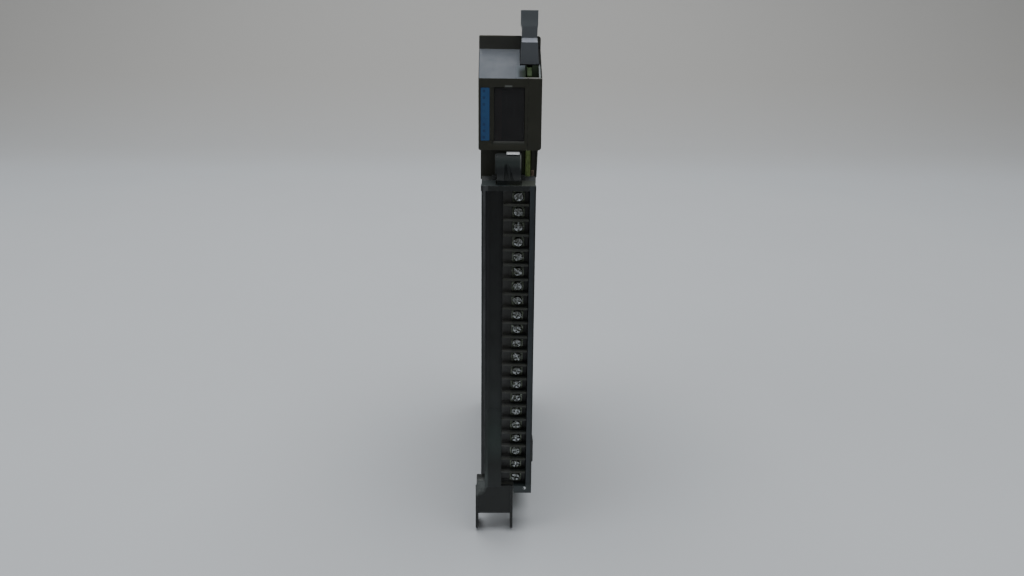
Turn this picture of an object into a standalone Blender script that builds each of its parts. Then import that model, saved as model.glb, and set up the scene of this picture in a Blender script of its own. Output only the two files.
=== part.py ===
"""Rack-mounted input module of a programmable controller, with its swing-down field wiring arm.

Working axes while modelling: +X to the reader's right when facing the indicators, +Y into the rack,
+Z up. X is measured from the bezel's centre line, Y from the bezel's front face and Z from 9 mm under the
bar that the arm turns on. The last step moves everything to the middle of the footprint, clip tips at zero.
"""
import math

import bmesh
import bpy
from mathutils import Matrix, Vector

MM = 0.001
GAP = 0.3 * MM

# Driving sizes
TERMINALS = 21
TERMINAL_PITCH = 7.62 * MM
BEZEL_WIDTH = 31.0 * MM
BOARD_THICK = 2.4 * MM
BOARD_LEFT = 8.3 * MM
WALL = 1.8 * MM

# Board
BOARD_RIGHT = BOARD_LEFT + BOARD_THICK
BOARD_MID = BOARD_LEFT + BOARD_THICK / 2
BOARD_BOTTOM = 11.5 * MM
BOARD_TOP = 258.0 * MM
BOARD_REAR = 152.0 * MM
TONGUE_FRONT = 5.6 * MM

# Covers
COVER_LEFT = -13.3 * MM
COVER_RIGHT = 13.9 * MM
COVER_FRONT = 14.0 * MM
COVER_REAR = 146.0 * MM
COVER_BOTTOM = 14.0 * MM
COVER_TOP = 255.5 * MM
HOOD_REAR = 26.0 * MM

# Bezel
BEZEL_HALF = BEZEL_WIDTH / 2
BEZEL_BOTTOM = 203.6 * MM
BEZEL_EDGE = 237.8 * MM
BAND_FRONT = 19.4 * MM
BAND_BOTTOM = 252.6 * MM
BEZEL_TOP = 259.1 * MM
SLOPE = (BAND_BOTTOM - BEZEL_EDGE) / BAND_FRONT
NOTCH_LEFT = 4.7 * MM
NOTCH_RIGHT = 13.95 * MM
NOTCH_REAR = 21.5 * MM
SLOT_LEFT = 7.3 * MM
WINDOW_LEFT, WINDOW_RIGHT = -9.4 * MM, 7.2 * MM
WINDOW_BOTTOM, WINDOW_TOP = 207.9 * MM, 233.7 * MM
LABEL_LEFT, LABEL_RIGHT = -14.5 * MM, -9.9 * MM
LAMP_COUNT = 16
LAMP_X = -6.0 * MM
LAMP_STEP = 1.5 * MM

# Ejector lever
LEVER_PIVOT_Y, LEVER_PIVOT_Z = 15.0 * MM, 249.0 * MM
LEVER_LEFT, LEVER_RIGHT = 5.0 * MM, 13.65 * MM
LEVER_TOP = 270.4 * MM
EJECTOR_PIN_R = 1.2 * MM
EAR_R = 3.4 * MM
LEVER_SWEEP_R = 7.7 * MM

# Wiring arm
ARM_FRONT = -5.6 * MM
ARM_FLOOR = 2.0 * MM
ARM_BACK = 4.0 * MM
ARM_TOP = 186.6 * MM
ARM_FLANGE_BOTTOM = 184.1 * MM
ARM_LEFT_END, ARM_LEFT_MIDDLE = -14.0 * MM, -12.9 * MM
ARM_RIGHT = 13.1 * MM
ARM_LEFT_WALL = 2.0 * MM
ARM_RIGHT_WALL = 3.0 * MM
ARM_BOTTOM = 20.3 * MM
END_BLOCK_TOP = 24.2 * MM
CHANNEL_BOTTOM = 31.8 * MM
BLOCK_LEFT, BLOCK_RIGHT = -3.1 * MM, 9.8 * MM
BLOCK_FRONT, BLOCK_BACK = -1.0 * MM, 1.7 * MM
RIB_FRONT = -5.3 * MM
RIB_THICK = 1.3 * MM
SCREW_X = 4.6 * MM
TOP_SCREW_Z = 180.9 * MM
SCREW_HEAD_R = 2.5 * MM
SCREW_SHANK_R = 1.3 * MM
CLAMP_WIDTH, CLAMP_HEIGHT = 6.2 * MM, 5.6 * MM
CONNECTOR_LEFT, CONNECTOR_RIGHT = 5.6 * MM, 12.6 * MM
CONNECTOR_BACK = 13.4 * MM

# Pivot clip, which turns on a round bar of the rack
BAR_Y, BAR_Z = 3.0 * MM, 9.0 * MM
BAR_NOTCH_R = 3.7 * MM
CLIP_LEFT = -17.0 * MM
CLIP_RIGHT = 3.2 * MM
CHEEK_THICK = 1.3 * MM
CHEEK_BACK = 9.0 * MM
CLIP_TIP = -2.6 * MM
CLIP_TOP = 31.5 * MM
WING_TOP = 27.6 * MM
WEB_BOTTOM = 8.6 * MM
CLIP_SCREW_X = (-9.0 * MM, -1.5 * MM)
CLIP_SCREW_Z = 50.0 * MM

# Arm latch
LATCH_PIVOT_Y, LATCH_PIVOT_Z = 2.4 * MM, 188.8 * MM
LATCH_LEFT, LATCH_RIGHT = -6.4 * MM, 5.6 * MM
LATCH_PIN_R = 1.0 * MM
ARCH_Y, ARCH_Z = -0.4 * MM, 198.0 * MM
ARCH_OUTER, ARCH_INNER = 4.2 * MM, 2.4 * MM
LEAF_LEFT, LEAF_RIGHT = -1.6 * MM, 4.8 * MM
LEAF_THICK = 0.4 * MM

# The frame's origin: middle of the footprint, on the lowest point
ORIGIN = Vector(((CLIP_LEFT + BEZEL_HALF) / 2, (ARM_FRONT + BOARD_REAR) / 2, CLIP_TIP))

PLANES = {
    "YZ": Matrix(((0, 0, 1, 0), (1, 0, 0, 0), (0, 1, 0, 0), (0, 0, 0, 1))),
    "XZ": Matrix(((1, 0, 0, 0), (0, 0, -1, 0), (0, 1, 0, 0), (0, 0, 0, 1))),
    "XY": Matrix.Identity(4),
}
AXIS_TURN = {
    "X": Matrix.Rotation(math.pi / 2, 4, "Y"),
    "Y": Matrix.Rotation(-math.pi / 2, 4, "X"),
    "Z": Matrix.Identity(4),
}


# ---------------------------------------------------------------- scene, materials and helpers

def clear_scene():
    for obj in list(bpy.data.objects):
        bpy.data.objects.remove(obj, do_unlink=True)


def make_collection(name):
    collection = bpy.data.collections.new(name)
    bpy.context.scene.collection.children.link(collection)
    return collection


def make_material(name, colour, roughness, metallic=0.0):
    material = bpy.data.materials.new(name)
    material.use_nodes = True
    shader = material.node_tree.nodes["Principled BSDF"]
    shader.inputs["Base Color"].default_value = (*colour, 1.0)
    shader.inputs["Roughness"].default_value = roughness
    shader.inputs["Metallic"].default_value = metallic
    material.diffuse_color = (*colour, 1.0)
    return material


def object_from_bmesh(name, mesh_builder, collection):
    bmesh.ops.recalc_face_normals(mesh_builder, faces=mesh_builder.faces)
    mesh = bpy.data.meshes.new(name)
    mesh_builder.to_mesh(mesh)
    mesh_builder.free()
    obj = bpy.data.objects.new(name, mesh)
    collection.objects.link(obj)
    return obj


def add_box(mesh_builder, low, high):
    """Add a box between two corners to a bmesh."""
    size = Vector(high) - Vector(low)
    middle = (Vector(high) + Vector(low)) / 2
    matrix = Matrix.Translation(middle) @ Matrix.Diagonal((*size, 1.0))
    bmesh.ops.create_cube(mesh_builder, size=1.0, matrix=matrix)


def box(name, low, high, collection):
    mesh_builder = bmesh.new()
    add_box(mesh_builder, low, high)
    return object_from_bmesh(name, mesh_builder, collection)


def boxes(name, corner_pairs, collection):
    """Several boxes that don't touch, as one cutting or joining tool."""
    mesh_builder = bmesh.new()
    for low, high in corner_pairs:
        add_box(mesh_builder, low, high)
    return object_from_bmesh(name, mesh_builder, collection)


def add_rod(mesh_builder, axis, centre, radius, length, segments=24):
    """Add a closed cylinder about a row axis; centre is the middle of its length."""
    matrix = Matrix.Translation(centre) @ AXIS_TURN[axis]
    bmesh.ops.create_cone(
        mesh_builder, cap_ends=True, segments=segments, radius1=radius, radius2=radius,
        depth=length, matrix=matrix)


def rod(name, axis, centre, radius, length, collection, segments=24):
    mesh_builder = bmesh.new()
    add_rod(mesh_builder, axis, centre, radius, length, segments)
    obj = object_from_bmesh(name, mesh_builder, collection)
    smooth(obj)
    return obj


def smooth(obj):
    obj.data.shade_smooth()
    obj.data.set_sharp_from_angle(angle=math.radians(35))


def arc(centre_a, centre_b, radius, start, end, steps):
    """Points of an arc in an outline's own plane, angles in degrees."""
    points = []
    for i in range(steps + 1):
        angle = math.radians(start + (end - start) * i / steps)
        points.append((centre_a + radius * math.cos(angle), centre_b + radius * math.sin(angle)))
    return points


def extruded(name, outline, plane, low, high, collection):
    """Solid from a flat outline: a 2D curve, extruded between two depths and turned into a mesh."""
    curve = bpy.data.curves.new(name + "_outline", "CURVE")
    curve.dimensions = "2D"
    curve.fill_mode = "BOTH"
    curve.extrude = (high - low) / 2
    spline = curve.splines.new("POLY")
    spline.points.add(len(outline) - 1)
    for point, (a, b) in zip(spline.points, outline):
        point.co = (a, b, 0.0, 1.0)
    spline.use_cyclic_u = True
    guide = bpy.data.objects.new(name + "_outline", curve)
    bpy.context.scene.collection.objects.link(guide)
    bpy.context.view_layer.update()
    depsgraph = bpy.context.evaluated_depsgraph_get()
    mesh = bpy.data.meshes.new_from_object(guide.evaluated_get(depsgraph))
    bpy.data.objects.remove(guide, do_unlink=True)
    middle = (low + high) / 2
    depth = -middle if plane == "XZ" else middle
    mesh.transform(PLANES[plane] @ Matrix.Translation((0, 0, depth)))
    mesh_builder = bmesh.new()
    mesh_builder.from_mesh(mesh)
    bpy.data.meshes.remove(mesh)
    bmesh.ops.remove_doubles(mesh_builder, verts=mesh_builder.verts, dist=1e-6)
    return object_from_bmesh(name, mesh_builder, collection)


def turned(name, profile, axis, origin, collection, steps=24):
    """Solid of revolution: (radius, height) pairs from the top outer side down, about a row axis."""
    mesh = bpy.data.meshes.new(name)
    vertices = [(radius, 0.0, height) for radius, height in profile]
    edges = [(i, i + 1) for i in range(len(vertices) - 1)]
    mesh.from_pydata(vertices, edges, [])
    obj = bpy.data.objects.new(name, mesh)
    collection.objects.link(obj)
    spin = obj.modifiers.new("turn", "SCREW")
    spin.steps = steps
    spin.render_steps = steps
    spin.use_merge_vertices = True
    spin.merge_threshold = 0.00001
    spin.use_smooth_shade = True
    obj.matrix_world = Matrix.Translation(origin) @ AXIS_TURN[axis]
    return obj


def combine(target, tool, operation):
    modifier = target.modifiers.new(tool.name, "BOOLEAN")
    modifier.operation = operation
    modifier.solver = "EXACT"
    modifier.object = tool
    tool.hide_render = True
    tool.display_type = "WIRE"


def cut(target, tool):
    combine(target, tool, "DIFFERENCE")


def join(target, tool):
    combine(target, tool, "UNION")


def soften(obj, width, segments=1):
    bevel = obj.modifiers.new("soften", "BEVEL")
    bevel.width = width
    bevel.segments = segments
    bevel.limit_method = "ANGLE"
    bevel.angle_limit = math.radians(40)


def paint(obj, material):
    obj.data.materials.clear()
    obj.data.materials.append(material)


# ---------------------------------------------------------------- module: board and covers

def main_board(parts, tools, green):
    """Board with a front tongue for the arm, two rear tongues for the rack and an ear for the ejector."""
    shelf = 10.6 * MM
    outline = [
        (16.0 * MM, BOARD_BOTTOM),
        (COVER_REAR - 2.5 * MM, BOARD_BOTTOM),
        (COVER_REAR, BOARD_BOTTOM + 2.5 * MM),
        (COVER_REAR, 34.0 * MM), (BOARD_REAR, 34.0 * MM),
        (BOARD_REAR, 121.0 * MM), (COVER_REAR, 121.0 * MM),
        (COVER_REAR, 145.0 * MM), (BOARD_REAR, 145.0 * MM),
        (BOARD_REAR, 232.0 * MM), (COVER_REAR, 232.0 * MM),
        (COVER_REAR, BOARD_TOP - 2.5 * MM),
        (COVER_REAR - 2.5 * MM, BOARD_TOP),
        (29.0 * MM, BOARD_TOP), (27.0 * MM, 256.0 * MM), (16.0 * MM, 256.0 * MM),
        (LEVER_PIVOT_Y - EAR_R, 252.5 * MM),
    ]
    outline += arc(LEVER_PIVOT_Y, LEVER_PIVOT_Z, EAR_R, 180, 290, 8)
    outline += arc(LEVER_PIVOT_Y, LEVER_PIVOT_Z, LEVER_SWEEP_R, 290, 225, 6)
    outline += [
        (6.0 * MM, 239.4 * MM), (6.0 * MM, 206.2 * MM), (shelf, 206.2 * MM),
        (shelf, 183.0 * MM), (TONGUE_FRONT, 181.0 * MM),
        (TONGUE_FRONT, 28.5 * MM), (16.0 * MM, 26.0 * MM),
    ]
    board = extruded("main_board", outline, "YZ", BOARD_LEFT, BOARD_RIGHT, parts)
    keys = []
    for slot_z in (58.0 * MM, 97.0 * MM, 169.0 * MM, 208.0 * MM):
        low = (BOARD_LEFT - MM, COVER_REAR + 0.6 * MM, slot_z - 0.7 * MM)
        high = (BOARD_RIGHT + MM, BOARD_REAR + MM, slot_z + 0.7 * MM)
        keys.append((low, high))
    cut(board, boxes("board_key_slots", keys, tools))
    pin_hole = rod("board_pin_hole", "X", (BOARD_MID, LEVER_PIVOT_Y, LEVER_PIVOT_Z),
                   EJECTOR_PIN_R + 0.2 * MM, 4 * MM, tools)
    cut(board, pin_hole)
    paint(board, green)
    return board


STANDOFFS = (
    (32.0 * MM, 30.0 * MM), (134.0 * MM, 30.0 * MM), (40.0 * MM, 241.0 * MM), (134.0 * MM, 241.0 * MM))


def cover_outline(inset):
    return [
        (COVER_FRONT + inset, COVER_BOTTOM + inset), (COVER_REAR - inset, COVER_BOTTOM + inset),
        (COVER_REAR - inset, COVER_TOP - inset), (HOOD_REAR + GAP + inset, COVER_TOP - inset),
        (HOOD_REAR + GAP + inset, BEZEL_BOTTOM - GAP - inset),
        (COVER_FRONT + inset, BEZEL_BOTTOM - GAP - inset),
    ]


def vent_slots(name, first_y, count, step, low_x, high_x, low_z, high_z, tools):
    width = 2.2 * MM
    pairs = []
    for i in range(count):
        y = first_y + i * step
        pairs.append(((low_x, y - width / 2, low_z), (high_x, y + width / 2, high_z)))
    return boxes(name, pairs, tools)


def component_cover(parts, tools, plastic):
    """Deep shell over the component side, open towards the board, with vents and recessed screws."""
    right = BOARD_LEFT - GAP
    cover = extruded("component_cover", cover_outline(0.0), "YZ", COVER_LEFT, right, parts)
    pad_low = (COVER_LEFT - 1.3 * MM, COVER_FRONT, 188 * MM)
    join(cover, box("cover_corner_pad", pad_low, (COVER_LEFT + MM, HOOD_REAR, BEZEL_BOTTOM - GAP), tools))
    hollow = extruded("component_cover_hollow", cover_outline(WALL), "YZ", COVER_LEFT + WALL,
                      right + MM, tools)
    cut(cover, hollow)
    low_x, high_x = -10.5 * MM, 5.0 * MM
    ends = vent_slots("cover_top_vents", 44 * MM, 15, 6 * MM, low_x, high_x,
                      COVER_TOP - 3 * MM, COVER_TOP + MM, tools)
    cut(cover, ends)
    floor = vent_slots("cover_bottom_vents", 44 * MM, 15, 6 * MM, low_x, high_x,
                       COVER_BOTTOM - MM, COVER_BOTTOM + 3 * MM, tools)
    cut(cover, floor)
    for row, low_z in (("upper", 196 * MM), ("lower", 46 * MM)):
        side = vent_slots("cover_side_vents_" + row, 56 * MM, 9, 8 * MM, COVER_LEFT - MM,
                          COVER_LEFT + 3 * MM, low_z, low_z + 24 * MM, tools)
        cut(cover, side)
    mesh_builder = bmesh.new()
    for y, z in STANDOFFS:
        add_rod(mesh_builder, "X", (COVER_LEFT, y, z), 3.4 * MM, 2.0 * MM)
    cut(cover, object_from_bmesh("cover_screw_recesses", mesh_builder, tools))
    mesh_builder = bmesh.new()
    for y, z in STANDOFFS:
        add_rod(mesh_builder, "X", (COVER_LEFT + 2 * MM, y, z), 1.7 * MM, 6.0 * MM)
    cut(cover, object_from_bmesh("cover_screw_holes", mesh_builder, tools))
    paint(cover, plastic)
    return cover


def solder_side_cover(parts, tools, plastic):
    """Shallow lid over the solder side."""
    left = BOARD_RIGHT + GAP
    cover = extruded("solder_side_cover", cover_outline(0.0), "YZ", left, COVER_RIGHT, parts)
    hollow = extruded("solder_side_hollow", cover_outline(WALL), "YZ", left - MM,
                      COVER_RIGHT - 1.5 * MM, tools)
    cut(cover, hollow)
    paint(cover, plastic)
    return cover


def standoffs_and_screws(parts, tools, brass, steel):
    for index, (y, z) in enumerate(STANDOFFS, start=1):
        left = COVER_LEFT + WALL + GAP
        right = BOARD_LEFT - GAP
        post = rod("board_standoff_%d" % index, "X", ((left + right) / 2, y, z), 3.0 * MM,
                   right - left, parts, 16)
        thread = rod("standoff_thread_%d" % index, "X", (left + 3.5 * MM, y, z), 1.7 * MM, 9 * MM,
                     tools, 16)
        cut(post, thread)
        paint(post, brass)
        head_top = COVER_LEFT + 0.1 * MM
        profile = [(0.0, 8.0 * MM), (1.4 * MM, 8.0 * MM), (1.4 * MM, 0.8 * MM), (3.0 * MM, 0.8 * MM),
                   (3.0 * MM, 0.3 * MM), (2.6 * MM, 0.0), (0.0, 0.0)]
        screw = turned("cover_screw_%d" % index, profile, "X", (head_top, y, z), parts, 20)
        slot = box("cover_screw_slot_%d" % index,
                   (head_top - MM, y - 0.4 * MM, z - 2.2 * MM),
                   (head_top + 0.4 * MM, y + 0.4 * MM, z + 2.2 * MM), tools)
        cut(screw, slot)
        paint(screw, steel)


# ---------------------------------------------------------------- module: indicator bezel

def slope_height(y):
    return BEZEL_EDGE + SLOPE * y


def indicator_bezel(parts, tools, plastic):
    """Hood with a sloped top, an upright band behind it and a slot for the board and the ejector."""
    outline = [
        (0.0, BEZEL_BOTTOM), (HOOD_REAR, BEZEL_BOTTOM), (HOOD_REAR, BEZEL_TOP),
        (BAND_FRONT, BEZEL_TOP), (BAND_FRONT, BAND_BOTTOM), (0.0, BEZEL_EDGE),
    ]
    bezel = extruded("indicator_bezel", outline, "YZ", -BEZEL_HALF, BEZEL_HALF, parts)
    soften(bezel, 0.5 * MM)
    drop = WALL * math.sqrt(1 + SLOPE * SLOPE)
    inner_band = BAND_FRONT + WALL
    inside = [
        (WALL, BEZEL_BOTTOM + WALL), (HOOD_REAR + MM, BEZEL_BOTTOM + WALL),
        (HOOD_REAR + MM, BEZEL_TOP - WALL), (inner_band, BEZEL_TOP - WALL),
        (inner_band, slope_height(inner_band) - drop), (WALL, slope_height(WALL) - drop),
    ]
    hollow = extruded("bezel_hollow", inside, "YZ", -BEZEL_HALF + WALL, NOTCH_RIGHT, tools)
    cut(bezel, hollow)
    openings = [
        ((NOTCH_LEFT, 8.6 * MM, BEZEL_EDGE - 2.5 * MM), (NOTCH_RIGHT, NOTCH_REAR, BEZEL_TOP + MM)),
        ((BOARD_LEFT - GAP, 10.3 * MM, BEZEL_BOTTOM - MM),
         (BOARD_RIGHT + GAP, HOOD_REAR + MM, BEZEL_BOTTOM + 2.5 * MM)),
    ]
    cut(bezel, boxes("bezel_slots", openings, tools))
    cut(bezel, box("bezel_board_slot", (SLOT_LEFT, 1.9 * MM, BEZEL_EDGE - 2.5 * MM),
                   (NOTCH_RIGHT, 9.0 * MM, BEZEL_TOP), tools))
    seat = [
        ((WINDOW_LEFT, -MM, WINDOW_BOTTOM), (WINDOW_RIGHT, 1.0 * MM, WINDOW_TOP)),
        ((LABEL_LEFT, -MM, WINDOW_BOTTOM), (LABEL_RIGHT, 0.5 * MM, WINDOW_TOP)),
    ]
    cut(bezel, boxes("bezel_seats", seat, tools))
    rim = 0.6 * MM
    opening = box("bezel_window_opening",
                  (WINDOW_LEFT + rim, 0.5 * MM, WINDOW_BOTTOM + rim),
                  (WINDOW_RIGHT - rim, WALL + 0.6 * MM, WINDOW_TOP - rim), tools)
    cut(bezel, opening)
    paint(bezel, plastic)
    return bezel


def window_and_label(parts, smoked, blue):
    window = box("indicator_window", (WINDOW_LEFT + GAP, 0.1 * MM, WINDOW_BOTTOM + GAP),
                 (WINDOW_RIGHT - GAP, 0.7 * MM, WINDOW_TOP - GAP), parts)
    paint(window, smoked)
    label = box("function_label", (LABEL_LEFT + 0.15 * MM, 0.0, WINDOW_BOTTOM + GAP),
                (LABEL_RIGHT - 0.15 * MM, 0.2 * MM, WINDOW_TOP - GAP), parts)
    paint(label, blue)


def indicators(parts, tools, green, lamp):
    board = box("indicator_board", (-13.1 * MM, 4.6 * MM, 206.2 * MM),
                (7.7 * MM, 5.8 * MM, 235.0 * MM), parts)
    paint(board, green)
    bank = box("indicator_lamps", (LAMP_X - 2 * MM, 3.5 * MM, 208.6 * MM),
               (LAMP_X + 2 * MM, 4.3 * MM, 233.0 * MM), parts)
    middle = (WINDOW_BOTTOM + WINDOW_TOP) / 2
    mesh_builder = bmesh.new()
    for i in range(LAMP_COUNT):
        z = middle + (i - (LAMP_COUNT - 1) / 2) * LAMP_STEP
        add_rod(mesh_builder, "Y", (LAMP_X, 3.0 * MM, z), 0.6 * MM, 1.4 * MM, 12)
    join(bank, object_from_bmesh("lamp_lenses", mesh_builder, tools))
    paint(bank, lamp)


# ---------------------------------------------------------------- module: ejector

def ejector(parts, tools, slate, steel):
    """Lever that straddles the board's top front corner, closed in front, and turns on a steel pin."""
    body_outline = [
        (9.0 * MM, 244.9 * MM), (18.2 * MM, 244.9 * MM), (19.0 * MM, 245.7 * MM),
        (19.0 * MM, 256.8 * MM), (17.6 * MM, 256.8 * MM), (17.6 * MM, 257.4 * MM),
        (11.6 * MM, 257.4 * MM), (9.0 * MM, 255.2 * MM),
    ]
    lever = extruded("ejector_lever", body_outline, "YZ", LEVER_LEFT, LEVER_RIGHT, parts)
    neck = box("lever_neck", (LEVER_LEFT + 0.3 * MM, 11.6 * MM, 256.0 * MM),
               (LEVER_RIGHT - 0.2 * MM, 17.6 * MM, 264.0 * MM), tools)
    join(lever, neck)
    head_outline = [
        (10.8 * MM, 262.8 * MM), (18.4 * MM, 262.8 * MM), (18.4 * MM, 268.2 * MM),
        (17.0 * MM, LEVER_TOP), (11.6 * MM, LEVER_TOP), (10.2 * MM, 268.4 * MM), (10.2 * MM, 263.6 * MM),
    ]
    head = extruded("lever_head", head_outline, "YZ", LEVER_LEFT + 0.15 * MM,
                    LEVER_RIGHT - 0.05 * MM, tools)
    join(lever, head)
    fork = box("lever_fork_slot", (BOARD_LEFT - 0.35 * MM, LEVER_PIVOT_Y - EAR_R - 0.4 * MM, 244 * MM),
               (BOARD_RIGHT + 0.35 * MM, 20 * MM, 257.0 * MM), tools)
    cut(lever, fork)
    bore = rod("lever_bore", "X", (BOARD_MID, LEVER_PIVOT_Y, LEVER_PIVOT_Z),
               EJECTOR_PIN_R + 0.1 * MM, 12 * MM, tools)
    cut(lever, bore)
    paint(lever, slate)
    pin = rod("ejector_pin", "X", (BOARD_MID, LEVER_PIVOT_Y, LEVER_PIVOT_Z), EJECTOR_PIN_R,
              8.2 * MM, parts)
    paint(pin, steel)
    return lever


# ---------------------------------------------------------------- module: electronics on the board

def electronics(parts, tools, black, aluminium, ceramic, sleeve, copper):
    face = BOARD_LEFT - GAP
    for i in range(3):
        z = 46 * MM + i * 48 * MM
        chip = box("opto_bank_%d" % (i + 1), (2.6 * MM, 24 * MM, z), (face, 32 * MM, z + 40 * MM), parts)
        soften(chip, 0.5 * MM)
        paint(chip, black)
    for i in range(3):
        z = 52 * MM + i * 50 * MM
        chip = box("logic_chip_%d" % (i + 1), (4.2 * MM, 62 * MM, z), (face, 72 * MM, z + 30 * MM), parts)
        soften(chip, 0.5 * MM)
        paint(chip, black)
    for i in range(2):
        centre = (1.9 * MM, 96 * MM + i * 18 * MM, 200 * MM)
        can = rod("filter_capacitor_%d" % (i + 1), "Z", centre, 6.1 * MM, 30 * MM, parts)
        soften(can, 0.8 * MM)
        paint(can, sleeve)
    core = box("pulse_transformer", (-6.5 * MM, 92 * MM, 60 * MM), (face, 118 * MM, 88 * MM), parts)
    soften(core, MM)
    winding = box("transformer_winding", (-9.5 * MM, 97 * MM, 65 * MM), (5 * MM, 113 * MM, 83 * MM), tools)
    join(core, winding)
    paint(core, copper)
    base = box("regulator_heat_sink", (4.6 * MM, 90 * MM, 120 * MM), (face, 124 * MM, 160 * MM), parts)
    fins = []
    for i in range(6):
        y = 91 * MM + i * 6.2 * MM
        fins.append(((-8 * MM, y, 120.5 * MM), (5 * MM, y + 1.2 * MM, 159.5 * MM)))
    join(base, boxes("heat_sink_fins", fins, tools))
    paint(base, aluminium)
    fuse = rod("board_fuse", "Z", (4.4 * MM, 46 * MM, 208 * MM), 2.4 * MM, 18 * MM, parts, 16)
    caps = bmesh.new()
    for end in (-1, 1):
        add_rod(caps, "Z", (4.4 * MM, 46 * MM, 208 * MM + end * 8.4 * MM), 2.9 * MM, 4.6 * MM, 16)
    join(fuse, object_from_bmesh("fuse_caps", caps, tools))
    paint(fuse, ceramic)


# ---------------------------------------------------------------- wiring arm

def left_edge(inset):
    """The arm's left wall bows inwards at mid height: points from the bottom to the top."""
    steps = 14
    points = []
    for i in range(steps + 1):
        share = i / steps
        bow = 1 - abs(2 * share - 1) ** 2.5
        x = ARM_LEFT_END + (ARM_LEFT_MIDDLE - ARM_LEFT_END) * bow + inset
        points.append((x, CHANNEL_BOTTOM + (ARM_TOP - CHANNEL_BOTTOM) * share))
    return points


def arm_channel(parts, tools, slate):
    """Channel moulding: bowed left wall, floor, thick right wall, top flange and end block."""
    step_x = CLIP_RIGHT + GAP
    left = left_edge(0.0)
    outline = [(step_x, CHANNEL_BOTTOM), (step_x, ARM_BOTTOM), (ARM_RIGHT, ARM_BOTTOM), (ARM_RIGHT, ARM_TOP)]
    outline = outline + left[::-1]
    channel = extruded("arm_channel", outline, "XZ", ARM_FLOOR, ARM_BACK, parts)
    lip = ARM_FLOOR + 0.4 * MM
    wall = extruded("arm_left_wall", left + left_edge(ARM_LEFT_WALL)[::-1], "XZ", ARM_FRONT, lip, tools)
    join(channel, wall)
    join(channel, box("arm_right_wall", (ARM_RIGHT - ARM_RIGHT_WALL, ARM_FRONT, ARM_BOTTOM),
                      (ARM_RIGHT, lip, ARM_TOP), tools))
    join(channel, box("arm_top_flange", (ARM_LEFT_END - 0.2 * MM, ARM_FRONT, ARM_FLANGE_BOTTOM),
                      (ARM_RIGHT + 0.05 * MM, ARM_BACK, ARM_TOP), tools))
    join(channel, box("arm_end_block", (step_x, ARM_FRONT, ARM_BOTTOM),
                      (ARM_RIGHT, ARM_BACK, END_BLOCK_TOP), tools))
    join(channel, box("arm_side_bump", (ARM_RIGHT - MM, ARM_FRONT + MM, 38.5 * MM),
                      (ARM_RIGHT + 0.6 * MM, lip, 50.5 * MM), tools))
    ramp = [(ARM_FRONT + 0.4 * MM, ARM_TOP - 0.2 * MM), (ARM_BACK, ARM_TOP - 0.2 * MM),
            (ARM_BACK, 190.6 * MM), (2.4 * MM, 190.6 * MM)]
    join(channel, extruded("arm_left_ramp", ramp, "YZ", -13.9 * MM, -8.4 * MM, tools))
    join(channel, extruded("arm_right_ramp", ramp, "YZ", 7.6 * MM, 12.8 * MM, tools))
    lugs = []
    for low_x, high_x in ((-8.6 * MM, -6.8 * MM), (6.0 * MM, 7.8 * MM)):
        lugs.append(((low_x, -0.6 * MM, ARM_TOP - 0.2 * MM), (high_x, ARM_BACK - 0.2 * MM, 191.4 * MM)))
    join(channel, boxes("latch_lugs", lugs, tools))
    hole = rod("latch_lug_hole", "X", (0, LATCH_PIVOT_Y, LATCH_PIVOT_Z), LATCH_PIN_R + 0.1 * MM,
               20 * MM, tools)
    cut(channel, hole)
    screw_holes = bmesh.new()
    for x in CLIP_SCREW_X:
        add_rod(screw_holes, "Y", (x, ARM_BACK + 0.7 * MM, CLIP_SCREW_Z), 1.1 * MM, 4 * MM, 16)
    cut(channel, object_from_bmesh("channel_screw_holes", screw_holes, tools))
    paint(channel, slate)
    return channel


def terminal_z(index):
    return TOP_SCREW_Z - index * TERMINAL_PITCH


def terminal_block(parts, tools, slate):
    """Base strip with a barrier rib between terminals; the flange and the end block close the row."""
    bottom = END_BLOCK_TOP + GAP
    block = box("terminal_block", (BLOCK_LEFT, BLOCK_FRONT, bottom),
                (BLOCK_RIGHT, BLOCK_BACK, ARM_FLANGE_BOTTOM - GAP), parts)
    ribs = []
    for i in range(1, TERMINALS):
        z = terminal_z(i) + TERMINAL_PITCH / 2
        ribs.append(((BLOCK_LEFT, RIB_FRONT, z - RIB_THICK / 2),
                     (BLOCK_RIGHT, BLOCK_FRONT + 0.5 * MM, z + RIB_THICK / 2)))
    join(block, boxes("barrier_ribs", ribs, tools))
    holes = bmesh.new()
    for i in range(TERMINALS):
        add_rod(holes, "Y", (SCREW_X, BLOCK_FRONT, terminal_z(i)), SCREW_SHANK_R + GAP, 4.6 * MM, 16)
    cut(block, object_from_bmesh("terminal_holes", holes, tools))
    paint(block, slate)
    return block


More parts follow.
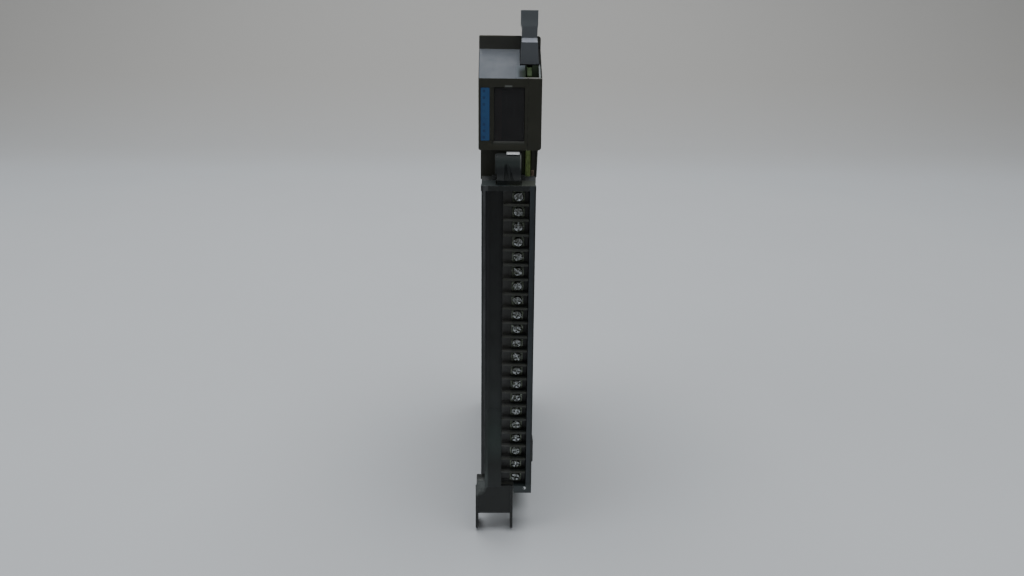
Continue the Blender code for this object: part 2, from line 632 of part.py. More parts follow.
def terminal_screws(parts, tools, nickel):
    """Binding screws, each with its captive square clamp plate; they share one mesh."""
    head_front = -3.3 * MM
    profile = [
        (0.0, 4.2 * MM), (SCREW_SHANK_R, 4.2 * MM), (SCREW_SHANK_R, 1.6 * MM),
        (SCREW_HEAD_R, 1.6 * MM), (SCREW_HEAD_R, 0.7 * MM), (0.85 * SCREW_HEAD_R, 0.2 * MM),
        (0.5 * SCREW_HEAD_R, 0.0), (0.0, 0.0),
    ]
    pattern = turned("terminal_screw_pattern", profile, "Y", (0, 0, 0), tools, 20)
    half_width, half_height = CLAMP_WIDTH / 2, CLAMP_HEIGHT / 2
    plate = box("clamp_plate_tool", (-half_width, 1.4 * MM, -half_height),
                (half_width, 2.0 * MM, half_height), tools)
    join(pattern, plate)
    slot = 0.45 * MM
    reach = 1.8 * MM
    cross = box("screw_slot_wide", (-reach, -MM, -slot), (reach, 0.8 * MM, slot), tools)
    cut(pattern, cross)
    cut(pattern, box("screw_slot_tall", (-slot, -MM, -reach), (slot, 0.8 * MM, reach), tools))
    bpy.context.view_layer.update()
    depsgraph = bpy.context.evaluated_depsgraph_get()
    mesh = bpy.data.meshes.new_from_object(pattern.evaluated_get(depsgraph))
    mesh.transform(pattern.matrix_world)
    mesh.name = "terminal_screw"
    mesh.materials.clear()
    mesh.materials.append(nickel)
    for tool in (pattern, plate, cross, bpy.data.objects["screw_slot_tall"]):
        bpy.data.objects.remove(tool, do_unlink=True)
    screws = []
    for i in range(TERMINALS):
        screw = bpy.data.objects.new("terminal_screw_%02d" % (i + 1), mesh)
        screw.location = (SCREW_X, head_front, terminal_z(i))
        parts.objects.link(screw)
        screws.append(screw)
    return screws


def edge_connector(parts, tools, black):
    """Socket along the arm's back; its groove is open at both ends, so it lifts off the board's tongue."""
    socket = box("edge_connector", (CONNECTOR_LEFT, ARM_BACK + GAP, 21.5 * MM),
                 (CONNECTOR_RIGHT, CONNECTOR_BACK, ARM_TOP - GAP), parts)
    soften(socket, 0.4 * MM)
    groove = box("connector_groove", (BOARD_LEFT - 0.4 * MM, 5.2 * MM, 20 * MM),
                 (BOARD_RIGHT + 0.4 * MM, CONNECTOR_BACK + MM, ARM_TOP + MM), tools)
    cut(socket, groove)
    paint(socket, black)
    return socket


def cheek_outline(top):
    """Side plate of the clip, with the notch that snaps over the rack's bar; its top falls to the back."""
    toe = 7.0 * MM
    front_round = arc(ARM_FRONT + 4 * MM, CLIP_TIP + 4 * MM, 4 * MM, 180, 270, 6)
    notch = arc(BAR_Y, BAR_Z, BAR_NOTCH_R, 270, 90, 12)
    outline = [(ARM_FRONT, top)] + front_round
    outline = outline + [(4.5 * MM, CLIP_TIP), (toe, CLIP_TIP + 2.0 * MM), (toe, BAR_Z - BAR_NOTCH_R)] + notch
    return outline + [(toe, BAR_Z + BAR_NOTCH_R), (CHEEK_BACK, 14.7 * MM), (CHEEK_BACK, 17.5 * MM)]


def pivot_clip(parts, tools, slate, steel):
    """Two notched cheeks, the web between them, a wing under the left wall and a tab behind the channel."""
    clip = extruded("pivot_clip", cheek_outline(25 * MM), "YZ", CLIP_LEFT, CLIP_LEFT + CHEEK_THICK, parts)
    right = extruded("clip_right_cheek", cheek_outline(END_BLOCK_TOP), "YZ", CLIP_RIGHT - CHEEK_THICK,
                     CLIP_RIGHT, tools)
    web_front = -5.0 * MM
    web_back = -3.0 * MM
    web_outline = [
        (web_front, WEB_BOTTOM), (web_back, WEB_BOTTOM), (web_back, 22.5 * MM), (ARM_BACK, 29.5 * MM),
        (ARM_BACK, CLIP_TOP), (ARM_FLOOR, CLIP_TOP), (web_front, 24.5 * MM),
    ]
    web = extruded("clip_web", web_outline, "YZ", CLIP_LEFT + 0.5 * MM, BLOCK_LEFT - GAP, tools)
    join(clip, web)
    join(clip, box("clip_low_web", (BLOCK_LEFT - MM, web_front, WEB_BOTTOM),
                   (CLIP_RIGHT - 0.5 * MM, web_back, END_BLOCK_TOP), tools))
    join(clip, right)
    wing_inner = ARM_LEFT_END + ARM_LEFT_WALL
    wing_outline = [(-16.1 * MM, WING_TOP), (wing_inner, WING_TOP), (wing_inner, 21 * MM),
                    (CLIP_LEFT, 21 * MM), (CLIP_LEFT, 22.5 * MM)]
    join(clip, extruded("clip_wing", wing_outline, "XZ", ARM_FRONT, ARM_FRONT + 1.9 * MM, tools))
    cut(clip, box("clip_shoulder", (CLIP_LEFT - MM, ARM_FRONT - MM, WING_TOP),
                  (ARM_LEFT_END, ARM_BACK + MM, CLIP_TOP + MM), tools))
    tab_back = ARM_BACK + GAP + 1.5 * MM
    join(clip, box("clip_tab_root", (-12 * MM, ARM_BACK - MM, 30.0 * MM),
                   (BLOCK_LEFT - GAP, tab_back, CLIP_TOP), tools))
    join(clip, box("clip_tab", (-12 * MM, ARM_BACK + GAP, 31 * MM), (2 * MM, tab_back, 58 * MM), tools))
    holes = bmesh.new()
    for x in CLIP_SCREW_X:
        add_rod(holes, "Y", (x, ARM_BACK + MM, CLIP_SCREW_Z), 1.1 * MM, 5 * MM, 16)
    cut(clip, object_from_bmesh("clip_screw_holes", holes, tools))
    paint(clip, slate)
    head = tab_back + GAP
    for index, x in enumerate(CLIP_SCREW_X, start=1):
        profile = [(0.0, MM), (1.7 * MM, MM), (2.0 * MM, 0.6 * MM), (2.0 * MM, 0.0), (0.8 * MM, 0.0),
                   (0.8 * MM, -3.0 * MM), (0.0, -3.0 * MM)]
        screw = turned("clip_screw_%d" % index, profile, "Y", (x, head, CLIP_SCREW_Z), parts, 16)
        paint(screw, steel)
    return clip


# ---------------------------------------------------------------- arm latch

def arm_latch(parts, tools, slate, steel):
    """Thumb latch: an arched spring tab on a pin, with a bright leaf over its crown."""
    back = ARCH_Y + ARCH_OUTER
    front = ARCH_Y - ARCH_OUTER
    outline = [(back, 189 * MM)] + arc(ARCH_Y, ARCH_Z, ARCH_OUTER, 0, 180, 16)
    outline = outline + [(front, 189.2 * MM), (ARCH_Y - ARCH_INNER, 189.2 * MM)]
    outline = outline + arc(ARCH_Y, ARCH_Z, ARCH_INNER, 180, 0, 12) + [(ARCH_Y + ARCH_INNER, 189 * MM)]
    latch = extruded("arm_latch", outline, "YZ", LATCH_LEFT, LATCH_RIGHT, parts)
    middle = (LATCH_LEFT + LATCH_RIGHT) / 2
    hub = rod("latch_hub", "X", (middle, LATCH_PIVOT_Y, LATCH_PIVOT_Z), 2.1 * MM,
              LATCH_RIGHT - LATCH_LEFT - 0.4 * MM, tools)
    join(latch, hub)
    notch = [(middle - 2.2 * MM, 188.5 * MM), (middle + 2.2 * MM, 188.5 * MM), (middle, 197.4 * MM)]
    cut(latch, extruded("latch_fold", notch, "XZ", -6 * MM, -1.8 * MM, tools))
    bore = rod("latch_bore", "X", (middle, LATCH_PIVOT_Y, LATCH_PIVOT_Z), LATCH_PIN_R + 0.1 * MM,
               20 * MM, tools)
    cut(latch, bore)
    paint(latch, slate)
    inner = ARCH_OUTER + GAP
    outer = inner + LEAF_THICK
    leaf_outline = [(ARCH_Y + outer, 192 * MM)] + arc(ARCH_Y, ARCH_Z, outer, 0, 140, 16)
    leaf_outline = leaf_outline + arc(ARCH_Y, ARCH_Z, inner, 140, 0, 16) + [(ARCH_Y + inner, 192 * MM)]
    leaf = extruded("latch_spring", leaf_outline, "YZ", LEAF_LEFT, LEAF_RIGHT, parts)
    paint(leaf, steel)
    pin = rod("latch_pin", "X", (-0.4 * MM, LATCH_PIVOT_Y, LATCH_PIVOT_Z), LATCH_PIN_R, 16.2 * MM, parts)
    paint(pin, steel)
    return latch, leaf, pin


# ---------------------------------------------------------------- assembly

def pivot(name, position, children):
    """Empty on a joint's axis that carries the pieces that turn about it."""
    empty = bpy.data.objects.new(name, None)
    empty.empty_display_size = 5 * MM
    empty.location = position
    bpy.context.scene.collection.objects.link(empty)
    bpy.context.view_layer.update()
    for child in children:
        child.parent = empty
        child.matrix_parent_inverse = empty.matrix_world.inverted()
    return empty


def move_to_origin():
    """Put the frame's origin in the middle of the footprint."""
    for obj in bpy.data.objects:
        if obj.parent is None:
            obj.location -= ORIGIN


def build():
    clear_scene()
    parts = make_collection("plc_module")
    tools = make_collection("cutters")
    housing = make_material("housing_plastic", (0.022, 0.022, 0.017), 0.5)
    slate = make_material("arm_plastic", (0.022, 0.028, 0.031), 0.45)
    lever_grey = make_material("lever_plastic", (0.05, 0.056, 0.066), 0.4)
    green = make_material("board_green", (0.045, 0.085, 0.025), 0.45)
    blue = make_material("label_blue", (0.02, 0.08, 0.22), 0.5)
    smoked = make_material("smoked_window", (0.006, 0.006, 0.007), 0.12)
    lamp = make_material("lamp_red", (0.3, 0.03, 0.02), 0.3)
    nickel = make_material("nickel", (0.55, 0.54, 0.5), 0.3, 1.0)
    steel = make_material("spring_steel", (0.6, 0.6, 0.6), 0.25, 1.0)
    brass = make_material("standoff_brass", (0.5, 0.36, 0.12), 0.35, 1.0)
    black = make_material("chip_black", (0.012, 0.012, 0.013), 0.55)
    aluminium = make_material("heat_sink_aluminium", (0.5, 0.5, 0.5), 0.4, 1.0)
    ceramic = make_material("fuse_body", (0.6, 0.58, 0.5), 0.3)
    sleeve = make_material("capacitor_sleeve", (0.02, 0.05, 0.16), 0.35)
    copper = make_material("transformer_tape", (0.35, 0.2, 0.05), 0.45)

    main_board(parts, tools, green)
    component_cover(parts, tools, housing)
    solder_side_cover(parts, tools, housing)
    standoffs_and_screws(parts, tools, brass, steel)
    indicator_bezel(parts, tools, housing)
    window_and_label(parts, smoked, blue)
    indicators(parts, tools, green, lamp)
    electronics(parts, tools, black, aluminium, ceramic, sleeve, copper)
    lever = ejector(parts, tools, lever_grey, steel)

    channel = arm_channel(parts, tools, slate)
    block = terminal_block(parts, tools, slate)
    screws = terminal_screws(parts, tools, nickel)
    socket = edge_connector(parts, tools, black)
    clip = pivot_clip(parts, tools, slate, steel)
    latch, leaf, latch_pin = arm_latch(parts, tools, slate, steel)
    clip_screws = [bpy.data.objects["clip_screw_1"], bpy.data.objects["clip_screw_2"]]

    pivot("lever_pivot", (BOARD_MID, LEVER_PIVOT_Y, LEVER_PIVOT_Z), [lever])
    arm_pieces = [channel, block, socket, clip, latch_pin] + screws + clip_screws
    arm = pivot("arm_pivot", (0, BAR_Y, BAR_Z), arm_pieces)
    latch_pivot = pivot("latch_pivot", (0, LATCH_PIVOT_Y, LATCH_PIVOT_Z), [latch, leaf])
    latch_pivot.parent = arm
    latch_pivot.matrix_parent_inverse = arm.matrix_world.inverted()
    move_to_origin()


build()
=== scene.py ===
"""Looks of the rack-mounted input module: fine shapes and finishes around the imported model.

Shapes are drawn in module millimetres, the axes that part.py uses: X from the bezel's centre line, Y from
the bezel's front face into the rack and Z from 9 mm under the rack's bar. TO_FRAME turns them into metres.
"""

import math
import random

import bmesh
import bpy
from mathutils import Matrix, Vector


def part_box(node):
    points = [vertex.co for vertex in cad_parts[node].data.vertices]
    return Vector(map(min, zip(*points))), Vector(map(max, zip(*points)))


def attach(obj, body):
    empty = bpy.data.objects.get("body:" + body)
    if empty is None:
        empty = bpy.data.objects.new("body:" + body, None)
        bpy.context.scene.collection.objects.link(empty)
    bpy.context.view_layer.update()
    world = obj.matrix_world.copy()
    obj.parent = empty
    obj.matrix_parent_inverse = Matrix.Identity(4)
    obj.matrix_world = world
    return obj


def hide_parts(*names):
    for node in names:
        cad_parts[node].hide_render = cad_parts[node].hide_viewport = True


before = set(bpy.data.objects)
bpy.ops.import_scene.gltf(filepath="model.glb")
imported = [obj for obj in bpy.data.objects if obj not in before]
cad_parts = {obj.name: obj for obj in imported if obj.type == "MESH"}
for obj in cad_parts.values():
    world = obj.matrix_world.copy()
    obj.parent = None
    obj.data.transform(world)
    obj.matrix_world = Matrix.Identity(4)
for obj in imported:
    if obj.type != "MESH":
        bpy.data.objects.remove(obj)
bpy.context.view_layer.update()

MM = 0.001
BEZEL_LOW, BEZEL_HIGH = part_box("indicator_bezel")
BEZEL_FOOT = 203.6
CENTRE_X = (BEZEL_LOW.x + BEZEL_HIGH.x) / 2
FRONT_Y = BEZEL_LOW.y
BASE_Z = BEZEL_LOW.z - BEZEL_FOOT * MM
TO_FRAME = Matrix.Translation((CENTRE_X, FRONT_Y, BASE_Z)) @ Matrix.Scale(MM, 4)

# Bezel: the slope above the window, the upright band behind it and the window's seat
SLOPE_FOOT, SLOPE_HEAD = 237.8, 252.6
BAND_Y = 19.4
SLOPE = (SLOPE_HEAD - SLOPE_FOOT) / BAND_Y
SEAT_LEFT, SEAT_RIGHT = -8.0, 7.2
SEAT_LOW, SEAT_HIGH = 207.9, 233.7

# Bezel's open slot in front of the board, and the notch behind it that the lever turns in
SLOT_LEFT, SLOT_FRONT, SLOT_BACK = 7.3, 0.9, 9.0
SLOT_LOW = SLOPE_FOOT - 2.5
NOTCH_LEFT, NOTCH_RIGHT, NOTCH_FRONT = 4.7, 13.95, 8.6
NOTCH_WIDENING = 0.4

# Lever's block: its foot and top, and the two edges of the chamfer between them, as (y, z)
LEVER_FOOT, LEVER_SHOULDER = 244.9, 257.4
CHAMFER_LOW, CHAMFER_HIGH = (9.0, 255.2), (11.4, LEVER_SHOULDER)

# Latch: its arch and its pin, and the top of the arm below it
ARCH_Y, ARCH_Z, ARCH_OUTER, ARCH_INNER = -0.4, 198.0, 4.2, 2.4
LATCH_Y, LATCH_Z = 2.4, 188.8
ARM_FRONT, ARM_TOP = -5.3, 186.5

# Terminals and the board's contacts below their screws
TERMINALS = 21
PITCH = 7.62
SCREW_X = 4.6
TOP_SCREW_Z = 180.9
CONTACT_DROP = 2.5

COVER_LEFT = -13.3
# Painted light: a pale spot on the channel and the clip that lifts the shade in the gap behind the clip's
# wing.
PAINTED_LIGHT_SPOT, PAINTED_LIGHT_SPOT_SIZE, PAINTED_LIGHT_SPOT_TONE = (-12.8, -4.0, 25.5), 3.6, (0.095, 0.105, 0.102)
SHARP_ANGLE = math.radians(35)


def module_box(node):
    """Corners of a CAD node in module millimetres."""
    low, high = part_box(node)
    shift = Vector((CENTRE_X, FRONT_Y, BASE_Z))
    return (low - shift) / MM, (high - shift) / MM


def slope_z(y):
    """Height of the bezel's slope."""
    return SLOPE_FOOT + SLOPE * y


def terminal_z(index):
    return TOP_SCREW_Z - index * PITCH


# ---- mesh helpers

PLANES = {
    "YZ": lambda a, b, depth: (depth, a, b),
    "XZ": lambda a, b, depth: (a, depth, b),
    "XY": lambda a, b, depth: (a, b, depth),
}


def arc(centre_a, centre_b, radius, start, end, steps):
    """Points of an arc in an outline's plane, angles in degrees."""
    points = []
    for i in range(steps + 1):
        angle = math.radians(start + (end - start) * i / steps)
        points.append((centre_a + radius * math.cos(angle), centre_b + radius * math.sin(angle)))
    return points


def rounded_rectangle(low_a, low_b, high_a, high_b, radius, steps):
    """Outline of a rectangle with round corners."""
    outline = []
    for a, b, start in ((high_a, high_b, 0), (low_a, high_b, 90), (low_a, low_b, 180), (high_a, low_b, 270)):
        centre_a = a - math.copysign(radius, a - (low_a + high_a) / 2)
        centre_b = b - math.copysign(radius, b - (low_b + high_b) / 2)
        outline += arc(centre_a, centre_b, radius, start, start + 90, steps)
    return outline


def add_prism(shape, plane, outline, low, high):
    """Closed prism over a flat outline, from one depth to the other."""
    place = PLANES[plane]
    first = [shape.verts.new(place(a, b, low)) for a, b in outline]
    second = [shape.verts.new(place(a, b, high)) for a, b in outline]
    faces = [shape.faces.new(first), shape.faces.new(second[::-1])]
    count = len(outline)
    for i in range(count):
        j = (i + 1) % count
        faces.append(shape.faces.new((first[j], first[i], second[i], second[j])))
    bmesh.ops.recalc_face_normals(shape, faces=faces)


def add_box(shape, low, high):
    outline = [(low[0], low[1]), (high[0], low[1]), (high[0], high[1]), (low[0], high[1])]
    add_prism(shape, "XY", outline, low[2], high[2])


def add_turned(shape, profile, centre, segments, axis="Y"):
    """Closed solid of revolution; profile is (radius, height) from one end of the axis to the other."""
    place = PLANES["XYZ".replace(axis, "")]
    rings = []
    for radius, height in profile:
        ring = []
        for i in range(segments if radius > 0 else 1):
            angle = 2 * math.pi * i / segments
            spot = place(radius * math.cos(angle), radius * math.sin(angle), height)
            ring.append(shape.verts.new(Vector(centre) + Vector(spot)))
        rings.append(ring)
    faces = []
    for first, second in zip(rings, rings[1:]):
        for i in range(segments):
            j = (i + 1) % segments
            if len(first) == 1:
                corners = (first[0], second[j], second[i])
            elif len(second) == 1:
                corners = (first[i], first[j], second[0])
            else:
                corners = (first[i], first[j], second[j], second[i])
            faces.append(shape.faces.new(corners))
    for ring in (rings[0], rings[-1]):
        if len(ring) > 1:
            faces.append(shape.faces.new(ring))
    bmesh.ops.recalc_face_normals(shape, faces=faces)


def round_edges(shape, test, offset):
    """Round the edges whose two ends both pass a test on their place."""
    edges = [edge for edge in shape.edges if all(test(vert.co) for vert in edge.verts)]
    bmesh.ops.bevel(shape, geom=edges, offset=offset, segments=4, profile=0.5, affect="EDGES")


def near(value, target):
    return abs(value - target) < 1e-4


def link(name, data):
    """New object in the scene for a mesh, a light or a camera."""
    obj = bpy.data.objects.new(name, data)
    bpy.context.scene.collection.objects.link(obj)
    return obj


def to_mesh(shape, name):
    mesh = bpy.data.meshes.new(name)
    shape.to_mesh(mesh)
    shape.free()
    return mesh


def to_object(shape, name):
    mesh = to_mesh(shape, name)
    mesh.transform(TO_FRAME)
    return link(name, mesh)


def bake_modifiers(obj):
    """Replace an object's mesh by its evaluated one."""
    bpy.context.view_layer.update()
    depsgraph = bpy.context.evaluated_depsgraph_get()
    mesh = bpy.data.meshes.new_from_object(obj.evaluated_get(depsgraph))
    obj.modifiers.clear()
    old = obj.data
    obj.data = mesh
    bpy.data.meshes.remove(old)


def combine(obj, shape, operation):
    """Cut a bmesh tool out of obj, or join it on, and drop the tool."""
    tool = to_object(shape, obj.name + "_tool")
    modifier = obj.modifiers.new("combine", "BOOLEAN")
    modifier.operation = operation
    modifier.solver = "EXACT"
    modifier.use_self = True
    modifier.object = tool
    bake_modifiers(obj)
    mesh = tool.data
    bpy.data.objects.remove(tool)
    bpy.data.meshes.remove(mesh)


def prism_object(name, plane, outline, low, high):
    shape = bmesh.new()
    add_prism(shape, plane, outline, low, high)
    return to_object(shape, name)


def box_object(name, low, high):
    shape = bmesh.new()
    add_box(shape, low, high)
    return to_object(shape, name)


def cut_prism(obj, plane, outline, low, high):
    tool = bmesh.new()
    add_prism(tool, plane, outline, low, high)
    combine(obj, tool, "DIFFERENCE")


def join_prism(obj, plane, outline, low, high):
    tool = bmesh.new()
    add_prism(tool, plane, outline, low, high)
    combine(obj, tool, "UNION")


def cut_box(obj, low, high):
    tool = bmesh.new()
    add_box(tool, low, high)
    combine(obj, tool, "DIFFERENCE")


def cut_bore(obj, centre, radius, half, axis="X", segments=32):
    """Cut a round bore that reaches half its length to each side of its centre."""
    tool = bmesh.new()
    add_turned(tool, [(radius, -half), (radius, half)], centre, segments, axis)
    combine(obj, tool, "DIFFERENCE")


def add_bevel(obj, width, segments):
    bevel = obj.modifiers.new("soften", "BEVEL")
    bevel.width = width * MM
    bevel.segments = segments
    bevel.limit_method = "ANGLE"
    bevel.angle_limit = SHARP_ANGLE
    bevel.harden_normals = True
    return bevel


def soften(obj, width, segments=3):
    """Round the sharp edges; the faces keep their own shading."""
    bevel = add_bevel(obj, width, segments)
    bevel.miter_outer = "MITER_ARC"
    obj.data.shade_smooth()


def finish_piece(obj, body, slot, material, *nodes):
    """Material, body and the CAD nodes that a piece stands for; the slot argument is not used."""
    obj.data.materials.clear()
    obj.data.materials.append(material)
    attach(obj, body)
    if nodes:
        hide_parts(*nodes)


def refine_node(node, material, width, segments=2):
    """Keep a CAD node: give it a finish and round its edges with modifiers only."""
    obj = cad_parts[node]
    weld = obj.modifiers.new("weld", "WELD")
    weld.merge_threshold = 0.01 * MM
    flats = obj.modifiers.new("flats", "DECIMATE")
    flats.decimate_type = "DISSOLVE"
    flats.angle_limit = math.radians(2)
    add_bevel(obj, width, segments)
    for slot in obj.material_slots:
        slot.link = "OBJECT"
        slot.material = material


# ---- material helpers

class Finish:
    """A node material with a Principled shader and short ways to add patterns to it."""

    def __init__(self, name, roughness, metallic=0.0, **sockets):
        self.material = bpy.data.materials.new(name)
        self.material.use_nodes = True
        self.tree = self.material.node_tree
        self.shader = self.tree.nodes["Principled BSDF"]
        self.shader.inputs["Roughness"].default_value = roughness
        self.shader.inputs["Metallic"].default_value = metallic
        for socket, value in sockets.items():
            self.shader.inputs[socket.replace("_", " ")].default_value = value
        self.place = self.tree.nodes.new("ShaderNodeTexCoord").outputs["Object"]
        self.height = None

    def node(self, kind, **inputs):
        node = self.tree.nodes.new("ShaderNode" + kind)
        for socket, value in inputs.items():
            self.feed(node.inputs[socket.replace("_", " ")], value)
        return node

    def feed(self, socket, value):
        if isinstance(value, bpy.types.NodeSocket):
            self.tree.links.new(value, socket)
        else:
            socket.default_value = value

    def mapped(self, scale=(1, 1, 1), turn=(0, 0, 0)):
        mapping = self.node("Mapping", Vector=self.place)
        mapping.inputs["Scale"].default_value = scale
        mapping.inputs["Rotation"].default_value = turn
        return mapping.outputs["Vector"]

    def noise(self, scale, detail=4.0, roughness=0.55, stretch=(1, 1, 1), turn=(0, 0, 0)):
        """Noise whose scale is in waves per metre."""
        node = self.node("TexNoise", Vector=self.mapped(stretch, turn), Scale=scale, Detail=detail,
                         Roughness=roughness)
        return node.outputs["Fac"]

    def spread(self, value, low, high, to_low=0.0, to_high=1.0):
        """Map a value's range to another one, clamped."""
        node = self.node("MapRange", Value=value)
        for socket, number in zip(("From Min", "From Max", "To Min", "To Max"), (low, high, to_low, to_high)):
            self.feed(node.inputs[socket], number)
        return node.outputs["Result"]

    def maths(self, operation, first, second=0.0):
        node = self.node("Math")
        node.operation = operation
        self.feed(node.inputs[0], first)
        self.feed(node.inputs[1], second)
        return node.outputs["Value"]

    def away(self, value, place):
        """Distance between a value and a place."""
        return self.maths("ABSOLUTE", self.maths("SUBTRACT", value, place))

    def blend(self, share, first, second):
        """Mix two colours; first and second are RGB triples or sockets."""
        node = self.node("Mix")
        node.data_type = "RGBA"
        self.feed(node.inputs[0], share)
        for socket, colour in ((node.inputs[6], first), (node.inputs[7], second)):
            self.feed(socket, colour if isinstance(colour, bpy.types.NodeSocket) else (*colour, 1.0))
        return node.outputs[2]

    def paint(self, base, *marks):
        """Lay marks over a base colour in turn, each a share and its colour."""
        for share, colour in marks:
            base = self.blend(share, base, colour)
        return base

    def colour(self, value):
        self.feed(self.shader.inputs["Base Color"], value)

    def gloss(self, value):
        self.feed(self.shader.inputs["Roughness"], value)

    def raise_by(self, value, depth):
        """Add a height pattern, depth in millimetres."""
        step = self.maths("MULTIPLY", value, depth * MM)
        self.height = step if self.height is None else self.maths("ADD", self.height, step)

    def axis(self, name):
        return self.node("SeparateXYZ", Vector=self.place).outputs[name]

    def facing(self, axis, low, high):
        """Share of a surface that looks along an axis, either way."""
        normal = self.node("NewGeometry").outputs["Normal"]
        part = self.node("SeparateXYZ", Vector=normal).outputs[axis]
        return self.spread(self.maths("ABSOLUTE", part), low, high)

    def beyond(self, axis, place, soft=0.2):
        """Share that lies past a place on an axis, in module millimetres."""
        shift = {"X": CENTRE_X, "Y": FRONT_Y, "Z": BASE_Z}[axis]
        low, high = shift + (place - soft) * MM, shift + (place + soft) * MM
        return self.spread(self.axis(axis), low, high)

    def before(self, axis, place, soft=0.2):
        """Share that lies short of a place on an axis, in module millimetres."""
        return self.maths("SUBTRACT", 1.0, self.beyond(axis, place, soft))

    def within(self, axis, low, high, soft=0.2):
        """Share that lies between two places on an axis, in module millimetres."""
        return self.all_of(self.beyond(axis, low, soft), self.before(axis, high, soft))

    def all_of(self, *shares):
        """Product of shares."""
        product = shares[0]
        for share in shares[1:]:
            product = self.maths("MULTIPLY", product, share)
        return product

    def spot(self, centre, radius):
        """Share inside a soft ball round a place in module millimetres."""
        node = self.node("VectorMath")
        node.operation = "DISTANCE"
        self.feed(node.inputs[0], self.place)
        node.inputs[1].default_value = TO_FRAME @ Vector(centre)
        return self.spread(node.outputs["Value"], 0.6 * radius * MM, radius * MM, 1.0, 0.0)

    def worn_edges(self):
        """Share of edge wear: where the rounded normal leaves the flat one, broken up by noise."""
        bevel = self.node("Bevel", Radius=0.5 * MM)
        bevel.samples = 6
        flat = self.node("NewGeometry").outputs["True Normal"]
        dot = self.node("VectorMath")
        dot.operation = "DOT_PRODUCT"
        self.feed(dot.inputs[0], bevel.outputs["Normal"])
        self.feed(dot.inputs[1], flat)
        turned = self.maths("SUBTRACT", 1.0, dot.outputs["Value"])
        patchy = self.spread(self.noise(420, 5, 0.7), 0.45, 0.62)
        return self.maths("MULTIPLY", self.spread(turned, 0.02, 0.16), patchy)

    def done(self):
        if self.height is not None:
            bump = self.node("Bump", Height=self.height, Distance=1.0)
            self.feed(self.shader.inputs["Normal"], bump.outputs["Normal"])
        return self.material


def moulded(name, dark, light, worn, roughness, scuffs=0.5, extra=None, **sockets):
    """Moulded plastic: spark-eroded grain, soft colour drift, scuffs and paler worn edges."""
    look = Finish(name, roughness, **sockets)
    drift = look.spread(look.noise(38, 3), 0.3, 0.7)
    base = look.blend(drift, dark, light)
    streak = look.spread(look.noise(900, 6, 0.7, stretch=(1, 1, 0.035)), 0.6, 0.78, 0.0, scuffs)
    base = look.blend(streak, base, worn)
    if extra:
        base = extra(look, base)
    look.colour(look.blend(look.worn_edges(), base, worn))
    look.gloss(look.spread(look.noise(150, 5, 0.6), 0.3, 0.7, roughness - 0.07, roughness + 0.09))
    look.raise_by(look.noise(5200, 2, 0.5), 0.02)
    look.raise_by(look.noise(60, 2), 0.05)
    return look.done()


def slope_marks(look, base):
    """Painted ceiling reflection on the slope with painted light at its head, painted shade on the sill and
    the right rim, paler band, pale finger mark, painted highlight on the top edge, green beside the board.
    """
    face, hood = look.before("Y", 2.0), look.before("Y", 20.5)
    slope = look.all_of(look.facing("Z", 0.5, 0.7), look.within("Z", 236.0, 254.0), look.before("X", 6.4, 1.0))
    streak = look.spread(look.noise(300, 5, 0.6, stretch=(1, 0.15, 0.15)), 0.3, 0.72)
    # Painted reflection of the ceiling on the up-facing slope, streaked along the moulding.
    ceiling_reflection = look.blend(streak, (0.010, 0.023, 0.042), (0.020, 0.035, 0.057))
    # Painted light at the head of the slope, which offsets the dark band's reflection there.
    slope_head_light = look.all_of(slope, look.beyond("Z", 250.9, 1.5))
    green = look.all_of(look.within("X", 6.8, 8.4), look.within("Z", 188.0, 204.0), look.beyond("Y", 12.0))
    # Painted shade: the sill under the window is darkened where its chamfer catches light.
    sill = look.all_of(look.within("Z", 206.3, 208.2), look.within("X", -9.2, SLOT_LEFT), face)
    finger_mark = look.all_of(look.within("Z", 233.8, 234.6, 0.1), look.within("X", -2.6, 0.9), face)
    band = look.all_of(look.beyond("Z", SLOPE_HEAD + 0.3), hood)
    # Painted shade: the slope's right rim beside the notch is near black, against its reflection of the bright
    # wall.
    rim = look.all_of(look.beyond("X", 13.7), look.within("Z", 245.2, 254.0, 0.4), hood)
    # Painted highlight along the bezel's top edge, where it catches the ceiling light.
    top_edge_highlight = look.all_of(look.within("Z", 258.6, 259.6), look.within("X", -15.0, 3.0), 0.6)
    return look.paint(
        base, (slope, ceiling_reflection), (slope_head_light, (0.080, 0.092, 0.108)), (green, (0.040, 0.058, 0.022)),
        (sill, (0.014, 0.017, 0.011)), (finger_mark, (0.20, 0.215, 0.195)), (band, (0.029, 0.030, 0.0245)),
        (rim, (0.004, 0.004, 0.003)), (top_edge_highlight, (0.13, 0.125, 0.09)))


